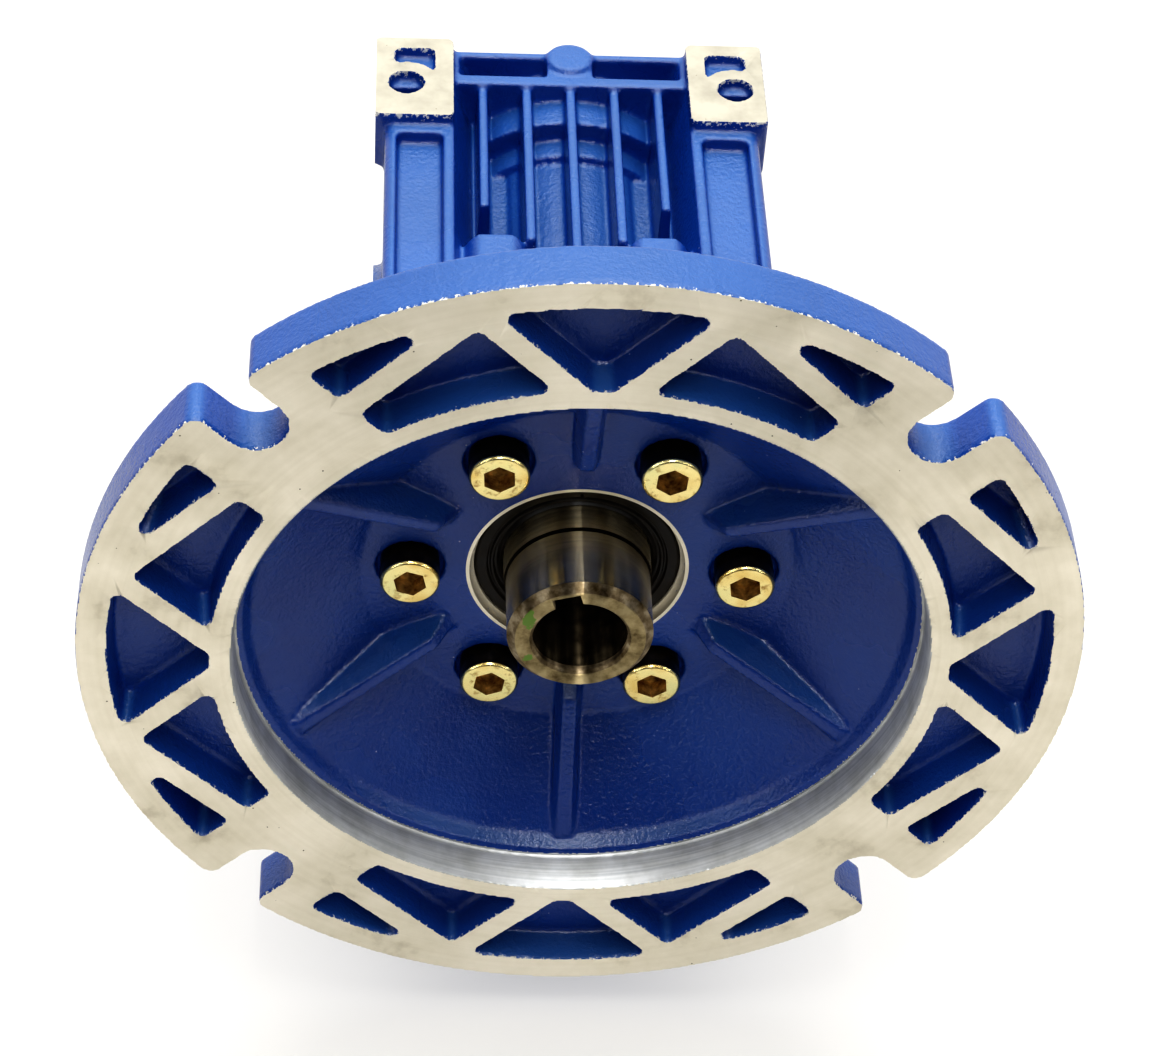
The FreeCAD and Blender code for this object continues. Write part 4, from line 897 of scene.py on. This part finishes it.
def foot_fillings():
    """Blocks that leave the recesses of the upper feet as shallow as the photograph shows them."""
    blocks = []
    for side_x in (-1, 1):
        for side_y in (-1, 1):
            corners = [
                (side_x * x, side_y * y, foot_top_z - depth)
                for x in foot_recess_x for y in foot_recess_y
                for depth in (foot_recess_depth, foot_filling_depth)
            ]
            faces = [(0, 1, 3, 2), (4, 6, 7, 5), (0, 4, 5, 1), (2, 3, 7, 6), (0, 2, 6, 4), (1, 5, 7, 3)]
            block = mesh_from(corners, faces)
            work = bmesh.new()
            work.from_mesh(block)
            bmesh.ops.recalc_face_normals(work, faces=work.faces)
            work.to_mesh(block)
            work.free()
            blocks.append(block)
    return blocks


def make_housing():
    """The finned housing: enamelled all over, with bare feet and output faces."""
    flats = [
        (2, foot_top_z),
        (2, floor_z),
        (0, -output_face_x),
        (1, -rear_face_y),
        (1, rear_face_y),
    ]
    mesh = rounded_casting("housing", flats, fillings=foot_fillings())
    centres, normals = face_table(mesh)
    finish = np.zeros(len(centres), dtype=np.int32)
    milled, faced = 1, 2
    for place in (foot_top_z, floor_z):
        from_foot = np.abs(centres[:, 2] - place)
        level = np.abs(normals[:, 2]) > facing
        finish[((from_foot < near_flat) & level) | (from_foot < on_flat)] = milled
    at_end = np.abs(centres[:, 1]) > rear_face_y - flat_margin
    finish[at_end & (np.abs(normals[:, 1]) > facing)] = milled
    from_output = np.hypot(centres[:, 1], centres[:, 2])
    at_output = centres[:, 0] < -output_face_x + flat_margin
    finish[at_output & (from_output < output_face_radius + 0.5 * MM)] = faced
    metals = (enamel, foot_metal, output_metal)
    place_piece(
        "housing_casting", mesh, "gearbox", metals, "housing", 50, finish, flats
    )


def make_side_cover():
    """The cover on the output side, machined all over but for its enamelled edge."""
    mesh = with_modifier(
        welded_copy("side_cover"), "BEVEL", width=cover_edge_break, segments=2,
        limit_method="ANGLE", angle_limit=cover_edge_angle,
    )
    centres = face_table(mesh)[0]
    from_output = np.hypot(centres[:, 1], centres[:, 2])
    finish = (from_output < output_face_radius - 0.7 * MM).astype(np.int32)
    finish[centres[:, 0] > output_face_x - flat_margin] = 1
    metals = (enamel, output_metal)
    place_piece("side_cover_casting", mesh, "gearbox", metals, "side_cover", 30, finish)


make_motor_flange()
make_housing()
make_side_cover()


# Screws and plug


def socket_screw(head_radius, head_height, shank_radius, shank_length, flats, bevel):
    """A socket head screw with its seat at the origin and its head up."""
    mesh = turned(eased([
        (head_height, 0),
        (head_height, head_radius - bevel),
        (head_height - bevel, head_radius),
        (0, head_radius),
        (0, shank_radius),
        (-shank_length, shank_radius),
        (-shank_length, 0),
    ], 0.5 * bevel), 96)
    corner = flats / math.sqrt(3)
    floor = head_height * 0.42
    tool_points = []
    for z in (floor, head_height + 1 * MM):
        for index in range(6):
            turn = math.radians(60 * index)
            tool_points.append((corner * math.cos(turn), corner * math.sin(turn), z))
    tool_points.append((0, 0, floor - 0.2 * flats))
    tool_faces = [(12, (i + 1) % 6, i) for i in range(6)] + [tuple(range(6, 12))]
    tool_faces += [(i, (i + 1) % 6, 6 + (i + 1) % 6, 6 + i) for i in range(6)]
    mesh = cut_by(mesh, mesh_from(tool_points, tool_faces))
    for material in screw_finishes:
        mesh.materials.append(material)
    for face in mesh.polygons:
        centre = face.center
        in_hexagon = math.hypot(centre.x, centre.y) < corner
        in_socket = in_hexagon and floor - flats < centre.z < head_height - 0.02 * MM
        on_side = abs(face.normal.z) < 0.3 and centre.z < head_height - bevel
        face.material_index = 1 if in_socket else 2 if on_side else 0
    return mesh


def make_flange_screws():
    """Six M6 screws in the hub of the flange; a fitter leaves each socket at its own turn."""
    screw = socket_screw(
        screw_head_radius, head_height=6 * MM, shank_radius=3 * MM, shank_length=16 * MM,
        flats=5 * MM, bevel=0.45 * MM,
    )
    placed = []
    for index, turn in enumerate((8, -4, 3, 12, -8, 6)):
        seat = on_worm(screw_circle_radius, 60 * index, flange_face_y + screw_seat_depth)
        placed.append((screw, stood_at(seat, Vector((0, -1, 0)), turn)))
    place_piece(
        "motor_flange_cap_screws", joined(placed), "gearbox",
        screw_finishes, "motor_flange_screws", 30,
    )


def make_cover_screws():
    """Four M5 screws sunk in the side cover."""
    screw = socket_screw(
        4.25 * MM, head_height=5 * MM, shank_radius=2.5 * MM, shank_length=12 * MM,
        flats=4 * MM, bevel=0.4 * MM,
    )
    placed = []
    for index, turn in enumerate((5, 20, -12, 31)):
        angle = math.radians(90 * index)
        seat = Vector((
            cover_screw_seat_x,
            cover_screw_circle_radius * math.cos(angle),
            cover_screw_circle_radius * math.sin(angle),
        ))
        placed.append((screw, stood_at(seat, Vector((1, 0, 0)), turn)))
    place_piece(
        "side_cover_cap_screws", joined(placed), "gearbox",
        screw_finishes, "side_cover_screws", 30,
    )


def make_oil_plug():
    """The oil plug, which closes down on its copper washer."""
    radius = (plug_high.x - plug_low.x) / 2
    seat = Vector((0, plug_seat_y, (plug_low.z + plug_high.z) / 2))
    height = plug_high.y - plug_seat_y
    plug = socket_screw(
        radius, height, shank_radius=4 * MM, shank_length=plug_seat_y - plug_low.y,
        flats=5 * MM, bevel=0.6 * MM,
    )
    mesh = joined([(plug, stood_at(seat, Vector((0, 1, 0)), 14))])
    place_piece("oil_plug", mesh, "gearbox", screw_finishes, "oil_fill_plug", 30)


make_flange_screws()
make_cover_screws()
make_oil_plug()


# Seals and rear cap


def oil_seal(outer_radius, shaft_radius, width):
    """A moulded seal seen from outside: flat rim, grooved web and a dust lip that meets the shaft."""
    lip = shaft_radius + 0.05 * MM
    band = outer_radius - lip
    profile = [
        (0, outer_radius - 0.5 * MM),
        (-0.5 * MM, outer_radius),
        (-width, outer_radius),
        (-width, outer_radius - 0.25 * width),
        (-0.4 * width, lip + 0.45 * band),
        (-0.6 * width, lip + 0.1 * width),
        (-0.6 * width, lip),
        (-0.20 * width, lip),
        (-0.06 * width, lip + 0.10 * band),
        (-0.16 * width, lip + 0.20 * band),
        (-0.16 * width, lip + 0.30 * band),
        (-0.02 * width, lip + 0.34 * band),
        (-0.02 * width, lip + 0.42 * band),
        (-0.09 * width, lip + 0.46 * band),
        (-0.09 * width, lip + 0.52 * band),
        (0, lip + 0.56 * band),
    ]
    return turned(eased(profile, 0.15 * MM, 2), 160)


def dimpled(mesh, radius):
    """A seal with the two small pits that its mould leaves, left and right."""
    pit = turned([(-0.5 * MM, 0), (-0.3 * MM, 0.30 * MM), (0.5 * MM, 0.45 * MM), (0.5 * MM, 0)], 20)
    for side in (-1, 1):
        pit_here = joined([(pit, Matrix.Translation((side * radius, 0, 0)))])
        mesh = cut_by(mesh, pit_here)
    return mesh


def make_input_seal():
    outer = (seal_high.x - seal_low.x) / 2
    mesh = dimpled(oil_seal(outer, input_journal_radius, seal_high.y - seal_low.y), 0.90 * outer)
    place = Vector((0, seal_low.y, worm_z))
    mesh = joined([(mesh, stood_at(place, Vector((0, -1, 0))))])
    place_piece("input_shaft_seal", mesh, "gearbox", [rubber], "input_oil_seal", 35)


def make_output_seals():
    outer = (right_seal_high.y - right_seal_low.y) / 2
    seal = oil_seal(outer, output_journal_radius, right_seal_high.x - right_seal_low.x)
    for side, node in ((1, "output_right_oil_seal"), (-1, "output_left_oil_seal")):
        mesh = joined([(seal, stood_at(Vector((side * output_face_x, 0, 0)), Vector((side, 0, 0))))])
        place_piece(node.replace("_oil", "_shaft"), mesh, "gearbox", [rubber], node, 35)


def make_rear_cap():
    """The pressed cap over the rear bearing: a shallow dish with a raised ring."""
    radius = (cap_high.x - cap_low.x) / 2
    length = cap_high.y - cap_low.y
    wall = 1.6 * MM
    mesh = turned(eased([
        (-0.6 * MM, 0),
        (-0.6 * MM, 0.55 * radius),
        (0, 0.60 * radius),
        (0, radius - 0.8 * MM),
        (-0.8 * MM, radius),
        (-length, radius),
        (-length, radius - wall),
        (-wall, radius - wall),
        (-wall, 0.60 * radius),
        (-0.6 * MM - wall, 0.55 * radius),
        (-0.6 * MM - wall, 0),
    ], 0.5 * MM), 160)
    mesh = joined([(mesh, stood_at(Vector((0, cap_high.y, worm_z)), Vector((0, 1, 0))))])
    place_piece("rear_bearing_cap", mesh, "gearbox", [rubber], "rear_end_cap", 35)


make_input_seal()
make_output_seals()
make_rear_cap()


# The CAD pieces that stay take a finish from their material slot

finishes = {
    "blue_paint": enamel,
    "shaft_steel": input_steel,
    "bearing_steel": bearing_steel(),
    "bronze": hobbed_bronze(),
    "yellow_zinc": zinc,
    "spring_steel": phosphated_spring_steel(),
    "black_rubber": rubber,
    "copper_washer": annealed_copper(),
}
slot_of = {part["node"]: part["material_slot"] for part in frame["record"]["subparts"]}
for name, obj in frame["nodes"].items():
    obj.data.materials.clear()
    obj.data.materials.append(finishes[slot_of[name]])
frame["nodes"]["hollow_output_shaft"].data.materials[0] = output_steel


# Studio: a pale floor, one wide soft lamp overhead and narrow lamps in front


def make_floor():
    """Matt white board, lit almost to white, with a soft shadow under the part."""
    front = flange_face_y - floor_in_front
    far = floor_reach
    mesh = mesh_from([(-far, front, 0), (far, front, 0), (far, far, 0), (-far, far, 0)], [(0, 1, 2, 3)])
    floor = bpy.data.objects.new("studio_floor", mesh)
    floor.location.z = floor_z - 0.02 * MM
    bpy.context.collection.objects.link(floor)
    material, tree, place = new_finish("matt_white_board")
    cloud = add(tree, "TexNoise", {"Vector": place, "Scale": 2.5, "Detail": 2})
    white = add(tree, "ValToRGB", {"Fac": cloud}, [(0.3, "#A2A09C"), (0.7, "#A6A4A0")])
    shader = add(tree, "BsdfPrincipled", {
        "Base Color": white,
        "Roughness": 0.9,
        "Emission Color": (1.0, 0.99, 0.97, 1.0),
        "Emission Strength": 0.38,
    })
    add(tree, "OutputMaterial", {"Surface": shader})
    mesh.materials.append(material)


def hang_lamp(lamp, place, aim):
    holder = bpy.data.objects.new(lamp.name, lamp)
    holder.location = place
    holder.rotation_euler = (Vector(place) - Vector(aim)).to_track_quat("Z", "Y").to_euler()
    bpy.context.collection.objects.link(holder)


def hang_strip(name, lean_degrees, width, energy, lights_paint=False):
    """A narrow lamp in front, along the shaft and leaning to one side of it.

    It draws a line down the polished steel, and only lights_paint lets it light the rest.
    """
    lamp = bpy.data.lights.new(name, "AREA")
    lamp.shape = "RECTANGLE"
    lamp.size = width
    lamp.size_y = strip_length
    lamp.energy = energy
    lean = math.radians(lean_degrees)
    out = Vector((math.sin(lean), -strip_forward, math.cos(lean))).normalized()
    side = Vector((0, 1, 0)).cross(out).normalized()
    turn = Matrix((side, out.cross(side), out)).transposed().to_4x4()
    holder = bpy.data.objects.new(name, lamp)
    middle = Vector((0, flange_face_y, worm_z))
    holder.matrix_world = Matrix.Translation(middle + strip_distance * out) @ turn
    holder.visible_diffuse = lights_paint
    bpy.context.collection.objects.link(holder)


def make_lamps():
    """A wide overhead lamp, narrow lamps in front, and a room dark in front and white behind."""
    wide = bpy.data.lights.new("wide_overhead_lamp", "SUN")
    wide.energy = 2.35
    wide.angle = math.radians(60)
    hang_lamp(wide, (0.0, 0.24, 1.0), (0, 0, 0))
    hang_strip("narrow_lamp", 0, 0.02, 2.4, lights_paint=True)
    hang_strip("narrow_lamp_core", 0, 0.008, 2.0)
    for lean, energy in window_gaps:
        hang_strip("window_gap", lean, gap_width, energy)
    world = bpy.data.worlds.new("studio_room")
    world.use_nodes = True
    tree = world.node_tree
    tree.nodes.clear()
    direction = add(tree, "TexCoord").outputs["Generated"]
    behind = add(tree, "SeparateXYZ", {"Vector": direction}).outputs["Y"]
    sweep = add(tree, "MapRange", {
        "Value": behind, "From Min": 0.05, "From Max": 0.55, "To Min": 0.04, "To Max": 1.0,
    })
    eye = add(tree, "LightPath").outputs["Is Camera Ray"]
    strength = add(tree, "MapRange", {"Value": eye, "To Min": sweep, "To Max": 1.0})
    room = add(tree, "Background", {"Color": (1, 1, 1, 1), "Strength": strength})
    add(tree, "OutputWorld", {"Surface": room})
    bpy.context.scene.world = world
    bpy.context.scene.view_settings.view_transform = "Standard"
    bpy.context.scene.view_settings.look = "High Contrast"


def make_camera():
    """The camera at the photograph's place, above and in front, looking down 45 degrees."""
    right = Vector((0.99797188, -0.03152599, 0.05530137))
    down = Vector((0.01722800, -0.70256367, -0.71141232))
    forward = Vector((0.06128071, 0.71092222, -0.70059565))
    turn = Matrix((right, -down, -forward)).transposed().to_4x4()
    place = Vector((-33.381, -454.344, 440.857)) * MM
    camera = bpy.data.cameras.new("photo_camera")
    camera.lens = 102.80
    camera.sensor_width = 36.0
    camera.clip_start = 0.01
    camera.clip_end = 50
    holder = bpy.data.objects.new("photo_camera", camera)
    holder.matrix_world = Matrix.Translation(place) @ turn
    bpy.context.collection.objects.link(holder)
    bpy.context.scene.camera = holder


make_floor()
make_lamps()
make_camera()
